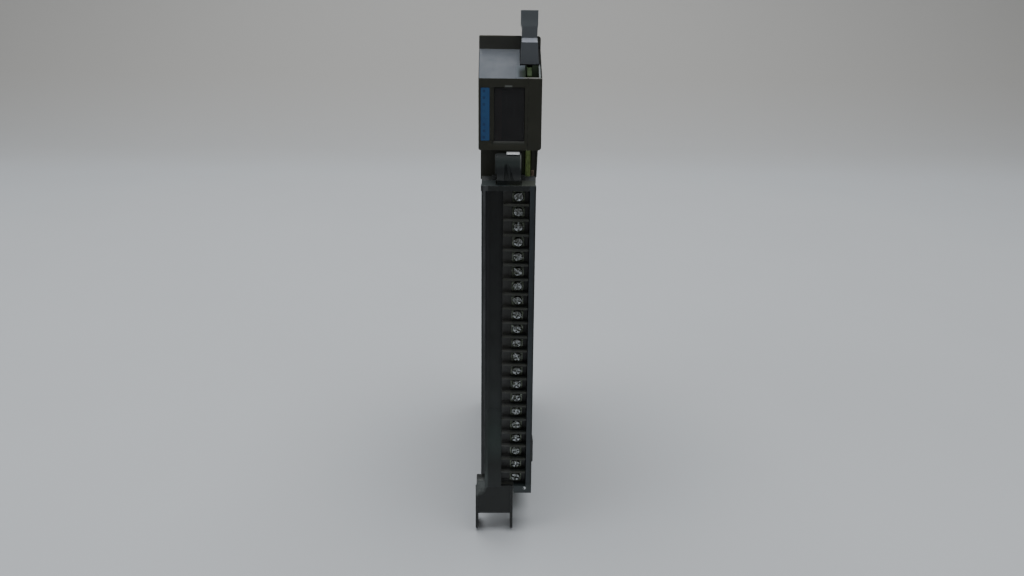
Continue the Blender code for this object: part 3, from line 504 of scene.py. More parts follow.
def channel_wear_and_light(look, base):
    """Slate right wall; painted light on the floor and the left wall's inner side, paler low down; scratched
    wall front, the painted pale spot beside the clip's wing and one small bright spot.
    """
    drift = look.spread(look.noise(60, 4), 0.35, 0.65)
    slate = look.blend(drift, (0.013, 0.018, 0.021), (0.025, 0.033, 0.038))
    low_down = look.before("Z", 82.0, 24.0)
    # Painted light: the channel's floor is paler low down, where less shade from the flange falls.
    floor = look.all_of(low_down, look.within("X", -11.4, -3.0))
    # Painted light on the left wall's inner side, lifting the shade in the groove beside the floor; paler low
    # down.
    side = look.all_of(look.within("X", -13.0, -10.3, 0.4), look.beyond("Y", -5.0))
    side_light_tone = look.blend(low_down, (0.027, 0.029, 0.031), (0.060, 0.070, 0.069))
    scratch = look.spread(look.noise(260, 6, 0.72, stretch=(1, 1, 0.12)), 0.36, 0.66, 0.0, 0.95)
    scratched = look.all_of(look.before("Y", -5.2), scratch, look.within("X", -13.2, -10.6))
    bright_spot = look.all_of(look.spot((9.4, -5.6, 23.2), 1.0), look.spread(look.noise(1400, 3), 0.42, 0.52))
    return look.paint(
        base, (look.within("X", 9.9, 12.3), slate), (floor, (0.032, 0.041, 0.038)), (side, side_light_tone),
        (look.before("Z", 25.0), (0.030, 0.038, 0.039)), (scratched, (0.066, 0.068, 0.072)),
        (look.spot(PAINTED_LIGHT_SPOT, PAINTED_LIGHT_SPOT_SIZE), PAINTED_LIGHT_SPOT_TONE), (bright_spot, (0.70, 0.72, 0.73)))


def clip_painted_light(look, base):
    """Painted light: a patchy highlight on the front corner of the clip's wing, and the pale spot beside it
    that lifts the shade.
    """
    corner_patches = look.spread(look.noise(300, 5, 0.7), 0.3, 0.6, 0.3, 1.0)
    # Painted highlight on the wing's front corner, where its slope catches light, broken into patches.
    corner = look.all_of(look.spot((-16.2, -5.6, 23.4), 5.5), corner_patches)
    return look.paint(base, (look.spot(PAINTED_LIGHT_SPOT, PAINTED_LIGHT_SPOT_SIZE), PAINTED_LIGHT_SPOT_TONE),
                      (corner, (0.118, 0.130, 0.123)))


def barrier_light(look, base):
    """Painted light on the barriers and the left strip, more so low down on the strip; olive towards their
    fronts, over dark wells.
    """
    below_top = look.maths("SUBTRACT", look.axis("Z"), BASE_Z + TOP_SCREW_Z * MM)
    row = look.maths("FRACT", look.maths("DIVIDE", below_top, PITCH * MM))
    # Painted light on the barriers, standing for the light their tops catch.
    barrier = look.spread(look.away(row, 0.5), 0.10, 0.14, 1.0, 0.0)
    # Painted light on the left strip, lifting the shade beside the wells; paler still low down.
    left = look.before("X", 1.6, 0.8)
    left_light_tone = look.blend(look.before("Z", 80.0, 25.0), (0.047, 0.048, 0.044), (0.056, 0.058, 0.056))
    paler_tone = look.blend(left, (0.0225, 0.0260, 0.0238), left_light_tone)
    patches = look.spread(look.noise(120, 4, 0.6), 0.35, 0.62, 0.15, 1.0)
    front = look.all_of(look.before("Y", -4.4, 0.6), patches)
    return look.paint(base, (look.maths("MAXIMUM", barrier, left), paler_tone), (front, (0.026, 0.028, 0.021)))


def fairing_light(look, base):
    """Channel floor's tone at the top of the fillet; painted light makes it paler in its middle, as low down
    in the channel, and along the left wall, where shade falls.
    """
    return look.paint(
        base, (look.beyond("Z", 58.0, 6.0), (0.029, 0.037, 0.034)),
        # Painted light: a paler middle and left margin, lifting the wall's shade.
        (look.within("Z", 42.0, 61.0, 6.0), (0.046, 0.063, 0.058)),
        (look.before("X", -10.5, 0.5), (0.068, 0.080, 0.077)))


def ledge_tone(look, base):
    """Slate left part and paler right part of the ledge."""
    slate = look.blend(0.6, base, (0.017, 0.026, 0.030))
    paler_tone = look.blend(0.6, base, (0.046, 0.054, 0.042))
    return look.blend(look.beyond("X", 0.0, 2.0), slate, paler_tone)


def latch_tone(look, base):
    """Painted light: a paler belt on the lit arch face below the latch's crown and a painted highlight on its
    right edge; paler feet.
    """
    right = module_box("arm_latch")[1].x
    # Painted highlight down the latch's right edge.
    edge = look.all_of(look.beyond("X", right - 0.6, 0.15), look.within("Z", 195.0, 202.0, 0.8))
    return look.paint(
        # The paler belt is painted light on the lit arch face.
        base, (look.within("Z", 195.8, 200.2, 0.8), (0.041, 0.049, 0.047)), (edge, (0.110, 0.120, 0.110)),
        (look.before("Z", 191.5, 1.0), (0.048, 0.051, 0.050)))


def chamfer_glint(look, base):
    """Paler head, and a painted highlight along the pale chamfer across the top of the lever's block."""
    (low_y, low_z), (high_y, high_z) = CHAMFER_LOW, CHAMFER_HIGH
    slope = (high_z - low_z) / (high_y - low_y)
    fall = look.maths("MULTIPLY", look.axis("Y"), slope)
    chamfer = BASE_Z + low_z * MM - (FRONT_Y + low_y * MM) * slope
    above = look.away(look.maths("SUBTRACT", look.axis("Z"), fall), chamfer)
    on_chamfer = look.spread(above, 0.10 * MM, 0.25 * MM, 1.0, 0.0)
    # Painted highlight on the chamfer, where it catches the ceiling light.
    strip = look.all_of(on_chamfer, look.within("X", 5.85, 13.1), look.within("Z", 255.3, high_z, 0.15))
    return look.paint(base, (look.beyond("Z", 263.0, 1.5), (0.104, 0.117, 0.126)),
                      (strip, (0.24, 0.26, 0.315)))


def metal(name, colour, tarnish, roughness, grime, metallic=1.0):
    """Metal with tarnish, grime in patches and fine scratches."""
    look = Finish(name, roughness, metallic)
    patch = look.spread(look.noise(500, 5, 0.65), 0.42, 0.60)
    dirt = look.spread(look.noise(1500, 5, 0.75), 0.47, 0.60, 0.0, grime)
    look.colour(look.paint(colour, (patch, tarnish), (dirt, (0.048, 0.051, 0.042))))
    look.gloss(look.spread(look.noise(1500, 5, 0.65), 0.3, 0.72, roughness - 0.1, roughness + 0.22))
    look.raise_by(look.noise(2600, 4, 0.6, stretch=(1, 1, 0.12), turn=(0.4, 0.3, 0.2)), 0.02)
    return look.done()


def board_finish():
    """Green mask with darker tracks, painted lighter in the gap under the bezel to lift its shade; bare edge,
    darker in the slot.
    """
    look = Finish("board_laminate", 0.45, Specular_IOR_Level=0.3)
    tracks = look.node("TexBrick", Vector=look.mapped((1, 1, 1), (0, math.pi / 2, 0)), Scale=260.0)
    tracks.inputs["Mortar Size"].default_value = 0.035
    tracks.inputs["Brick Width"].default_value = 2.6
    tracks.inputs["Row Height"].default_value = 0.35
    mask = look.blend(tracks.outputs["Fac"], (0.020, 0.062, 0.016), (0.040, 0.105, 0.028))
    drift = look.spread(look.noise(90, 4), 0.35, 0.7, 0.0, 0.5)
    # Painted light: the mask is much paler in the gap under the bezel, where the board lies in shade.
    gap = look.all_of(look.before("Y", 40.0, 20.0), look.within("Z", 186.0, 206.0, 1.0))
    mask = look.paint(mask, (drift, (0.03, 0.07, 0.02)), (gap, (0.22, 0.33, 0.10)))
    weave = look.maths("ADD", look.noise(1800, 3, 0.6, stretch=(1, 1, 0.1)),
                       look.noise(900, 3, 0.6, stretch=(1, 0.1, 1)))
    edge = look.blend(look.spread(weave, 0.8, 1.2), (0.17, 0.235, 0.075), (0.28, 0.37, 0.135))
    edge = look.paint(edge, (look.beyond("Z", 236.0, 2.0), (0.040, 0.074, 0.020)),
                      (look.beyond("Z", 243.6, 0.6), (0.110, 0.185, 0.060)))
    face = look.facing("X", 0.55, 0.75)
    look.colour(look.blend(face, edge, mask))
    look.gloss(look.spread(face, 0.0, 1.0, 0.62, 0.3))
    look.raise_by(look.noise(2500, 3), 0.01)
    return look.done()


def label_finish():
    """Blue printed strip with plain dark tick blocks, one for every second lamp."""
    look = Finish("label_print", 0.42)
    low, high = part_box("function_label")
    count = 8
    pitch = (high.z - low.z) / count
    row = look.maths("DIVIDE", look.maths("SUBTRACT", look.axis("Z"), low.z), pitch)
    in_row = look.maths("LESS_THAN", look.away(look.maths("FRACT", row), 0.5), 0.2)
    tick_x = low.x + 0.36 * (high.x - low.x)
    in_tick = look.maths("LESS_THAN", look.away(look.axis("X"), tick_x), 0.6 * MM)
    ink = look.all_of(in_row, in_tick, look.spread(look.away(row, count / 2), 0.6, 1.6, 0.12, 0.55))
    drift = look.spread(look.noise(160, 4), 0.3, 0.7)
    base = look.blend(drift, (0.012, 0.060, 0.17), (0.018, 0.085, 0.21))
    worn = look.spread(look.noise(700, 5, 0.7), 0.6, 0.75, 0.0, 0.5)
    look.colour(look.paint(base, (worn, (0.03, 0.09, 0.16)), (ink, (0.006, 0.012, 0.06))))
    look.raise_by(look.noise(1500, 3), 0.006)
    return look.done()


def window_finish():
    """Smoked plastic, nearly black, that lets the lamps behind it show faintly."""
    look = Finish("smoked_window", 0.16, IOR=1.45, Transmission_Weight=0.8, Specular_IOR_Level=0.12)
    haze = look.spread(look.noise(260, 5, 0.65), 0.4, 0.7)
    look.colour(look.blend(haze, (0.105, 0.104, 0.108), (0.078, 0.080, 0.083)))
    look.gloss(look.spread(look.noise(900, 6, 0.7, stretch=(1, 1, 0.08)), 0.5, 0.8, 0.12, 0.3))
    look.raise_by(look.noise(40, 2), 0.02)
    return look.done()


def light_and_shade_film_finish():
    """Matte films beside the slot with painted light and shade: on its left the slope's painted grey
    reflection fading to olive, the lever's painted shadow; on its right painted shade with a pale line of
    painted light.
    """
    look = Finish("light_and_shade_film", 0.7, Specular_IOR_Level=0.1)
    low_down = look.before("Z", 242.6, 1.4)
    # Painted shadow of the lever on the slope left of the slot: olive, then dark green.
    first = look.all_of(look.beyond("X", 4.1, 0.7), low_down)
    second = look.all_of(look.beyond("X", 6.1, 1.3), low_down)
    # Painted light: a pale line on the lit face right of the notch; beyond it painted shade.
    painted_wall_light = look.all_of(look.before("Z", 244.6, 0.5), look.within("X", 13.5, 14.75, 0.15))
    # The base is the slope's painted ceiling reflection.
    look.colour(look.paint(
        (0.120, 0.140, 0.157), (first, (0.036, 0.042, 0.041)), (second, (0.010, 0.021, 0.009)),
        (look.beyond("X", 11.0), (0.011, 0.012, 0.011)), (painted_wall_light, (0.185, 0.205, 0.205))))
    look.raise_by(look.noise(5200, 2, 0.5), 0.01)
    return look.done()


def simple(name, dark, light, roughness, scale=400):
    """Two-tone finish for small or hidden parts."""
    look = Finish(name, roughness)
    look.colour(look.blend(look.spread(look.noise(scale, 4), 0.35, 0.65), dark, light))
    look.gloss(look.spread(look.noise(scale * 2, 4), 0.3, 0.7, roughness - 0.06, roughness + 0.08))
    look.raise_by(look.noise(scale * 6, 3), 0.01)
    return look.done()


housing = moulded("housing_plastic", (0.0185, 0.0192, 0.0122), (0.0235, 0.0242, 0.0152),
                  (0.060, 0.060, 0.045), 0.42, scuffs=0.18, extra=slope_marks)
channel_plastic = moulded("channel_plastic", (0.0085, 0.0105, 0.0095), (0.0125, 0.0150, 0.0140),
                          (0.085, 0.095, 0.098), 0.42, scuffs=0.3, extra=channel_wear_and_light)
clip_plastic = moulded("clip_plastic", (0.0080, 0.0100, 0.0088), (0.0120, 0.0140, 0.0125),
                       (0.075, 0.085, 0.085), 0.44, scuffs=0.25, extra=clip_painted_light)
barrier_plastic = moulded("barrier_plastic", (0.0125, 0.0135, 0.0125), (0.0170, 0.0180, 0.0165),
                          (0.060, 0.062, 0.050), 0.44, scuffs=0.15, extra=barrier_light)
fairing_plastic = moulded("fairing_plastic", (0.0145, 0.0175, 0.0165), (0.0190, 0.0225, 0.0210),
                          (0.085, 0.095, 0.098), 0.46, scuffs=0.2, extra=fairing_light)
ledge_plastic = moulded("ledge_plastic", (0.024, 0.028, 0.024), (0.040, 0.045, 0.038),
                        (0.10, 0.11, 0.10), 0.44, scuffs=0.3, extra=ledge_tone, Specular_IOR_Level=0.25)
latch_plastic = moulded("latch_plastic", (0.0235, 0.0260, 0.0265), (0.0290, 0.0320, 0.0320),
                        (0.060, 0.070, 0.070), 0.50, scuffs=0.3, extra=latch_tone, Specular_IOR_Level=0.12)
lever_plastic = moulded("lever_plastic", (0.074, 0.083, 0.094), (0.092, 0.102, 0.113),
                        (0.17, 0.19, 0.20), 0.34, scuffs=0.25, extra=chamfer_glint, Specular_IOR_Level=0.6)
board_green = board_finish()
label_blue = label_finish()
window_smoke = window_finish()
nickel = metal("nickel_plate", (0.54, 0.56, 0.57), (0.10, 0.11, 0.085), 0.20, 0.9)
plate_metal = metal("clamp_plate_metal", (0.20, 0.22, 0.18), (0.085, 0.10, 0.070), 0.34, 0.7)
copper = metal("copper_contact", (0.50, 0.38, 0.29), (0.36, 0.26, 0.19), 0.35, 0.2)
leaf_steel = metal("leaf_steel", (0.92, 0.93, 0.95), (0.80, 0.80, 0.81), 0.24, 0.0, metallic=0.45)
steel = metal("bright_steel", (0.62, 0.63, 0.63), (0.50, 0.50, 0.49), 0.20, 0.15)
gold = metal("gold_contact", (0.98, 0.72, 0.30), (0.85, 0.58, 0.22), 0.28, 0.05)
brass = metal("turned_brass", (0.55, 0.40, 0.14), (0.40, 0.27, 0.09), 0.3, 0.25)
aluminium = metal("heat_sink_metal", (0.50, 0.50, 0.50), (0.40, 0.40, 0.41), 0.38, 0.2)
# Matte films with painted light and shade beside the slot.
light_and_shade_film = light_and_shade_film_finish()
slot_green = simple("slot_green", (0.013, 0.027, 0.010), (0.019, 0.037, 0.013), 0.5)
chip_black = simple("chip_resin", (0.010, 0.010, 0.011), (0.016, 0.016, 0.017), 0.5)
lamp_red = simple("lamp_lens", (0.55, 0.07, 0.05), (0.65, 0.10, 0.06), 0.25)
ceramic = simple("fuse_tube", (0.55, 0.53, 0.46), (0.62, 0.60, 0.53), 0.3)
sleeve = simple("capacitor_sleeve", (0.014, 0.040, 0.13), (0.020, 0.050, 0.16), 0.3)
tape = simple("winding_tape", (0.30, 0.17, 0.045), (0.36, 0.21, 0.06), 0.42, 250)
card = simple("label_card", (0.50, 0.50, 0.47), (0.58, 0.58, 0.55), 0.55, 300)


# ---- indicator bezel

def bezel_shell():
    """Hood: sloped top, upright band, window and label seats, thumb notch, board slot and parting groove."""
    low, high = module_box("indicator_bezel")
    board_low, board_high = module_box("main_board")
    rear, top = high.y, high.z
    shape = bmesh.new()
    outline = [(0.0, low.z), (rear, low.z), (rear, top), (BAND_Y, top), (BAND_Y, SLOPE_HEAD),
               (0.0, SLOPE_FOOT)]
    add_prism(shape, "YZ", outline, low.x, high.x)
    corners = ((high.x, low.z, 1.6), (low.x, low.z, 0.9), (high.x, top, 1.6), (low.x, top, 0.5))
    for x, z, radius in corners:
        round_edges(shape, lambda co, x=x, z=z: near(co.x, x) and near(co.z, z), radius)
    for x, radius in ((low.x, 0.6), (high.x, 0.35)):
        round_edges(shape, lambda co, x=x: near(co.x, x) and co.y < BAND_Y + 0.1 and co.z > low.z + 0.5
                    and not near(co.z, top), radius)
    bezel = to_object(shape, "bezel_shell")
    wall = 1.8
    drop = wall * math.sqrt(1 + SLOPE * SLOPE)
    inner = BAND_Y + wall
    hollow = [(wall, low.z + wall), (rear + 1, low.z + wall), (rear + 1, top - wall), (inner, top - wall),
              (inner, slope_z(inner) - drop), (wall, slope_z(wall) - drop)]
    cut_prism(bezel, "YZ", hollow, low.x + wall, 13.7)
    left, upper_left, wider = NOTCH_LEFT + 0.1, NOTCH_LEFT + 0.7, NOTCH_RIGHT + NOTCH_WIDENING
    step = 241.2
    notch = [(left, SLOT_LOW), (NOTCH_RIGHT, SLOT_LOW), (NOTCH_RIGHT, step), (wider, step), (wider, top + 1),
             (upper_left, top + 1), (upper_left, LEVER_SHOULDER), (left, 248.0)]
    cut_prism(bezel, "XZ", notch, NOTCH_FRONT, 21.5)
    ahead, groove, rim = -1.0, 0.35, 0.6
    cut_box(bezel, (SLOT_LEFT, SLOT_FRONT, SLOT_LOW), (NOTCH_RIGHT, SLOT_BACK, top))
    cut_box(bezel, (board_low.x - 0.3, 10.3, low.z - 1), (board_high.x + 0.3, rear + 1, low.z + 2.5))
    cut_box(bezel, (SEAT_LEFT, ahead, SEAT_LOW), (SEAT_RIGHT, 1.6, SEAT_HIGH))
    for left, right in ((-9.6, -7.7), (-14.5, -9.9)):
        cut_box(bezel, (left, ahead, SEAT_LOW), (right, groove, SEAT_HIGH))
    cut_box(bezel, (SEAT_LEFT + rim, 0.4, SEAT_LOW + rim), (SEAT_RIGHT - rim, 2.6, SEAT_HIGH - rim))
    cut_box(bezel, (-2.8, ahead, 233.0), (1.1, groove, 234.7))
    cut_box(bezel, (8.5, ahead, low.z - 1), (8.85, 0.3, SLOPE_FOOT + 1))
    sill = [(-0.3, SEAT_LOW - 1.8), (0.9, SEAT_LOW), (0.9, SEAT_LOW + 0.5), (-0.3, SEAT_LOW + 0.5)]
    cut_prism(bezel, "YZ", sill, -8.6, SEAT_RIGHT)
    soften(bezel, 0.3)
    finish_piece(bezel, "module", "housing", housing, "indicator_bezel")


def window_pane():
    """Smoked pane with a finger tab at the middle of its upper edge."""
    pane = box_object("window_pane", (SEAT_LEFT + 0.15, 0.85, SEAT_LOW + 0.1),
                      (SEAT_RIGHT - 0.15, 1.5, SEAT_HIGH - 0.2))
    tab = bmesh.new()
    add_box(tab, (-2.4, 0.15, 232.9), (0.8, 1.2, SEAT_HIGH))
    combine(pane, tab, "UNION")
    soften(pane, 0.18)
    finish_piece(pane, "module", "window", window_smoke, "indicator_window")


def label_strip():
    """Printed strip with round corners."""
    low, high = module_box("function_label")
    outline = rounded_rectangle(low.x, low.z, high.x, high.z, 0.5, 4)
    strip = prism_object("label_strip", "XZ", outline, low.y, low.y + 0.22)
    soften(strip, 0.05, 2)
    finish_piece(strip, "module", "label", label_blue, "function_label")


# ---- ejector lever

def lever_body():
    """Forked lever: chamfered lower block, waisted neck and a padded head with a finger hollow."""
    low, high = module_box("ejector_lever")
    board_low, board_high = module_box("main_board")
    left, right = low.x, high.x
    middle = (left + right) / 2
    block = bmesh.new()
    outline = [(CHAMFER_LOW[0], LEVER_FOOT), (18.2, LEVER_FOOT), (19.0, LEVER_FOOT + 0.8),
               (19.0, LEVER_SHOULDER - 0.6), (17.6, LEVER_SHOULDER - 0.6), (17.6, LEVER_SHOULDER),
               CHAMFER_HIGH, CHAMFER_LOW]
    add_prism(block, "YZ", outline, left, right)
    for vert in block.verts:
        rise = (vert.co.z - LEVER_FOOT) / (LEVER_SHOULDER - LEVER_FOOT)
        vert.co.x += 0.6 * rise if vert.co.x < middle else 0.5 - 0.8 * rise
    lever = to_object(block, "lever_body")
    stem_foot, neck_top, head_foot = 256.0, 262.4, 263.8
    stem = [(left + 0.7, stem_foot), (right - 0.4, stem_foot), (right - 0.25, neck_top), (right, head_foot),
            (right, high.z), (left + 0.15, high.z), (left + 0.15, head_foot), (left + 0.75, neck_top)]
    join_prism(lever, "XZ", stem, CHAMFER_HIGH[0], 17.8)
    cut_bore(lever, (middle, -4.25, 266.6), 16.0, 8.0, segments=64)
    pivot_y, pivot_z = 15.0, 249.0
    cut_box(lever, (board_low.x - 0.35, pivot_y - 3.8, 244.0), (board_high.x + 0.35, 20.0, 257.0))
    cut_bore(lever, (middle, pivot_y, pivot_z), 1.3, 7.0)
    soften(lever, 0.3)
    finish_piece(lever, "ejector_lever", "lever", lever_plastic, "ejector_lever")


# ---- arm latch

def latch_tab():
    """Arched thumb tab with a folded V between its two legs, on a hub that the pin passes through."""
    low, high = module_box("arm_latch")
    middle = (low.x + high.x) / 2
    back, front = ARCH_Y + ARCH_OUTER, ARCH_Y - ARCH_OUTER
    rear_foot, front_foot, cheek_foot = 189.0, 188.9, 192.4
    outline = [(back, rear_foot)] + arc(ARCH_Y, ARCH_Z, ARCH_OUTER, 0, 180, 24)
    outline += [(front, front_foot + 0.4), (front + 0.4, front_foot), (ARCH_Y - ARCH_INNER, front_foot)]
    outline += arc(ARCH_Y, ARCH_Z, ARCH_INNER, 180, 0, 18) + [(ARCH_Y + ARCH_INNER, rear_foot)]
    latch = prism_object("latch_tab", "YZ", outline, low.x, high.x)
    cheek = [(back - 0.3, cheek_foot)] + arc(ARCH_Y, ARCH_Z, ARCH_OUTER - 0.3, 0, 180, 24)
    join_prism(latch, "YZ", cheek + [(front + 0.3, cheek_foot)], low.x - 0.8, low.x + 0.5)
    hub = bmesh.new()
    half = (high.x - low.x) / 2 - 0.2
    add_turned(hub, [(2.1, -half), (2.1, half)], (middle, LATCH_Y, LATCH_Z), 40, "X")
    combine(latch, hub, "UNION")
    notch = [(middle - 2.6, 188.0), (middle + 2.8, 188.0), (middle + 0.5, 196.0), (middle - 0.9, 197.2),
             (middle - 2.2, 196.8)]
    cut_prism(latch, "XZ", notch, -6.0, -3.5)
    fold = [(middle - 1.2, ARCH_Z), (middle + 0.9, ARCH_Z), (middle + 0.5, 190.4), (middle + 0.1, 190.2)]
    join_prism(latch, "XZ", fold, -4.2, -3.2)
    cut_bore(latch, (middle, LATCH_Y, LATCH_Z), 1.1, 12.0)
    soften(latch, 0.22)
    finish_piece(latch, "arm_latch", "arm", latch_plastic, "arm_latch")


def latch_leaf():
    """Bright leaf over the latch's crown, ending in a front lip."""
    low, high = module_box("latch_spring")
    inner, outer = ARCH_OUTER + 0.3, ARCH_OUTER + 0.7
    foot, lip_angle = 192.0, 127
    outline = [(ARCH_Y + outer, foot)] + arc(ARCH_Y, ARCH_Z, outer, 0, lip_angle, 28)
    outline += arc(ARCH_Y, ARCH_Z, inner, lip_angle, 0, 28) + [(ARCH_Y + inner, foot)]
    leaf = prism_object("latch_leaf", "YZ", outline, low.x, high.x)
    soften(leaf, 0.1, 2)
    finish_piece(leaf, "arm_latch", "steel", leaf_steel, "latch_spring")


# ---- terminals

def rib_outline(middle, half_widths):
    """Tapered cross-section of a barrier, from its (y, half width) points between foot and tip."""
    lower = [(y, middle - half) for y, half in half_widths]
    return lower + [(y, middle + half) for y, half in reversed(half_widths)]


def barrier_strip():
    """Base with a sunk well for each clamp, rounded barriers and a lower step where the wires come in."""
    low, high = module_box("terminal_block")
    strip = box_object("barrier_strip", (low.x, -1.0, low.z), high)
    ribs = bmesh.new()
    for i in range(1, TERMINALS):
        z = terminal_z(i) + PITCH / 2
        add_prism(ribs, "YZ", rib_outline(z, ((-0.5, 0.75), (-4.6, 0.62), (-5.3, 0.5))), 1.3, high.x)
        add_prism(ribs, "YZ", rib_outline(z, ((-0.5, 0.7), (-4.2, 0.6), (-4.9, 0.45))), low.x, 1.5)
    combine(strip, ribs, "UNION")
    wells, gates = bmesh.new(), bmesh.new()
    for i in range(TERMINALS):
        z = terminal_z(i)
        add_box(wells, (1.55, -2.0, z - 2.95), (7.75, -0.35, z + 2.95))
        add_box(gates, (low.x - 1, -2.0, z - 2.4), (0.4, -0.55, z + 2.4))
    combine(strip, wells, "DIFFERENCE")
    combine(strip, gates, "DIFFERENCE")
    soften(strip, 0.14, 2)
    finish_piece(strip, "wiring_arm", "arm", barrier_plastic, "terminal_block")


def screw_shape(name):
    """Domed binding head with a rolled rim and a deep cross slot, one arm of it longer."""
    radius, shank = 2.5, 1.25
    profile = [(0.0, 0.0)]
    steps = 6
    for i in range(1, steps + 1):
        share = i / steps
        profile.append((0.78 * radius * share, 0.12 * share * share))
    profile += [(0.88 * radius, 0.27), (0.96 * radius, 0.58), (radius, 1.0), (0.97 * radius, 1.5),
                (shank, 1.5), (shank, 3.6), (0.0, 4.2)]
    shape = bmesh.new()
    add_turned(shape, profile, (0, 0, 0), 40, "Y")
    screw = to_object(shape, name)
    cut_box(screw, (-3.0, -0.5, -0.42), (3.0, 1.15, 0.42))
    cut_box(screw, (-0.4, -0.5, -1.6), (0.4, 1.3, 1.6))
    soften(screw, 0.09, 2)
    bake_modifiers(screw)
    return screw


def clamp_shape(name):
    """Square clamp plate with its corners nipped and two gripping grooves across it."""
    wide, tall, nip = 3.1, 2.8, 0.6
    outline = [(-wide + nip, -tall), (wide - nip, -tall), (wide, -tall + nip), (wide, tall - nip),
               (wide - nip, tall), (-wide + nip, tall), (-wide, tall - nip), (-wide, -tall + nip)]
    face = 1.55
    plate = prism_object(name, "XZ", outline, face, 2.2)
    cut_bore(plate, (0, 2, 0), 1.55, 1.0, "Y")
    grooves = bmesh.new()
    for z in (-2.2, 2.2):
        add_turned(grooves, [(0.22, -4.0), (0.22, 4.0)], (0, face, z), 12, "X")
    combine(plate, grooves, "DIFFERENCE")
    soften(plate, 0.1, 2)
    bake_modifiers(plate)
    return plate


def copy_in_module(pattern, name, place, turn):
    """Copy of a pattern mesh, moved in module millimetres and turned about its own Y axis."""
    mesh = pattern.data.copy()
    mesh.name = name
    step = Matrix.Translation(place) @ Matrix.Rotation(turn, 4, "Y")
    mesh.transform(TO_FRAME @ step @ TO_FRAME.inverted())
    return link(name, mesh)


def terminals():
    """Screws tightened to their own angles, each over its clamp plate."""
    chance = random.Random(21)
    screw_pattern = screw_shape("screw_pattern")
    clamp_pattern = clamp_shape("clamp_pattern")
    front = -3.3
    for i in range(TERMINALS):
        number = "%02d" % (i + 1)
        z = terminal_z(i)
        depth = front + chance.uniform(-0.15, 0.25)
        head = copy_in_module(screw_pattern, "binding_screw_" + number, (SCREW_X, depth, z),
                              chance.uniform(0, math.pi))
        finish_piece(head, "wiring_arm", "nickel", nickel, "terminal_screw_" + number)
        plate = copy_in_module(clamp_pattern, "clamp_plate_" + number, (SCREW_X, front, z),
                               chance.uniform(-0.06, 0.06))
        finish_piece(plate, "wiring_arm", "nickel", plate_metal)
    for pattern in (screw_pattern, clamp_pattern):
        bpy.data.objects.remove(pattern)


# ---- contacts

def contact_fingers():
    """Gold fingers on the board's front tongue and on its two rear tongues, on both faces."""
    low, high = module_box("main_board")
    skin = 0.07
    fingers = bmesh.new()
    for i in range(TERMINALS):
        z = terminal_z(i) - CONTACT_DROP
        for x in (low.x - skin, high.x):
            add_box(fingers, (x, 6.2, z - 1.6), (x + skin, 12.8, z + 1.6))
    rear_pitch, key_slots = 3.96, (58, 97, 169, 208)
    for start in (38.0, 149.0):
        for i in range(21):
            z = start + i * rear_pitch
            if any(abs(z - key) < 2.2 for key in key_slots):
                continue
            for x in (low.x - skin, high.x):
                add_box(fingers, (x, 146.6, z - 1.2), (x + skin, 151.6, z + 1.2))
    finish_piece(to_object(fingers, "board_gold_fingers"), "module", "brass", gold)


def connector_springs():
    """Bowed contact springs in the edge connector's groove, one pair for each terminal."""
    board_low, board_high = module_box("main_board")
    line = [(5.6 + 7.2 * j / 8, 0.16 * math.sin(math.pi * j / 8)) for j in range(9)]
    springs = bmesh.new()
    for i in range(TERMINALS):
        z = terminal_z(i) - CONTACT_DROP
        for side, face in ((-1, board_low.x - 0.4), (1, board_high.x + 0.4)):
            inner = [(face - side * (bow + 0.04), y) for y, bow in line]
            outer = [(face - side * (bow - 0.08), y) for y, bow in reversed(line)]
            add_prism(springs, "XY", inner + outer, z - 1.1, z + 1.1)
    finish_piece(to_object(springs, "connector_springs"), "wiring_arm", "brass", gold)


def contact_tail():
    """Bent copper tail that stands out of the connector beside the board."""
    left = module_box("main_board")[1].x + 0.25
    outline = [(6.6, 184.0), (7.0, 184.0), (7.0, 191.0), (5.6, 193.6), (5.1, 193.4), (6.6, 190.8)]
    tail = prism_object("contact_tail", "YZ", outline, left, left + 1.3)
    soften(tail, 0.08, 2)
    finish_piece(tail, "wiring_arm", "brass", copper)


def ledge_ramps():
    """Short ramps on the top flange in front of the latch lugs."""
    shape = bmesh.new()
    outline = [(ARM_FRONT, ARM_TOP), (-0.9, ARM_TOP), (-0.9, 188.95)]
    for left, right in ((-13.9, -6.7), (5.9, 12.8)):
        add_prism(shape, "YZ", outline, left, right)
    ramps = to_object(shape, "ledge_ramps")
    soften(ramps, 0.12, 2)
    finish_piece(ramps, "wiring_arm", "arm", ledge_plastic)


def latch_apron():
    """Low wall behind the latch's front legs that closes the view of its pin, and a wedge in front."""
    low, high = module_box("arm_latch")
    shape = bmesh.new()
    wall = [(-2.5, ARM_TOP), (-1.3, ARM_TOP), (-1.3, 190.2), (-2.2, 190.2)]
    add_prism(shape, "YZ", wall, low.x + 0.1, high.x - 0.1)
    wedge = [(ARM_FRONT, ARM_TOP), (-3.2, ARM_TOP), (-3.2, 187.05)]
    add_prism(shape, "YZ", wedge, low.x - 0.5, high.x + 0.5)
    finish_piece(to_object(shape, "latch_apron"), "wiring_arm", "arm", ledge_plastic)


def slot_floor():
    """Green filler beside the board in the open slot, and a panel that closes the view past the lever."""
    board_low, board_high = module_box("main_board")
    sides = ((SLOT_LEFT + 0.1, board_low.x - 0.15), (board_high.x + 0.15, NOTCH_RIGHT - 0.1))
    top, back = 236.6, 8.4
    shape = bmesh.new()
    for left, right in sides:
        add_box(shape, (left, 1.1, top - 1.0), (right, back, top))
    add_box(shape, (3.6, 21.7, 251.5), (board_low.x - 0.35, 22.1, 257.2))
    for left, right in sides:
        add_box(shape, (left, back - 0.4, top), (right, back, 244.4))
    finish_piece(to_object(shape, "slot_floor"), "module", "board", slot_green)


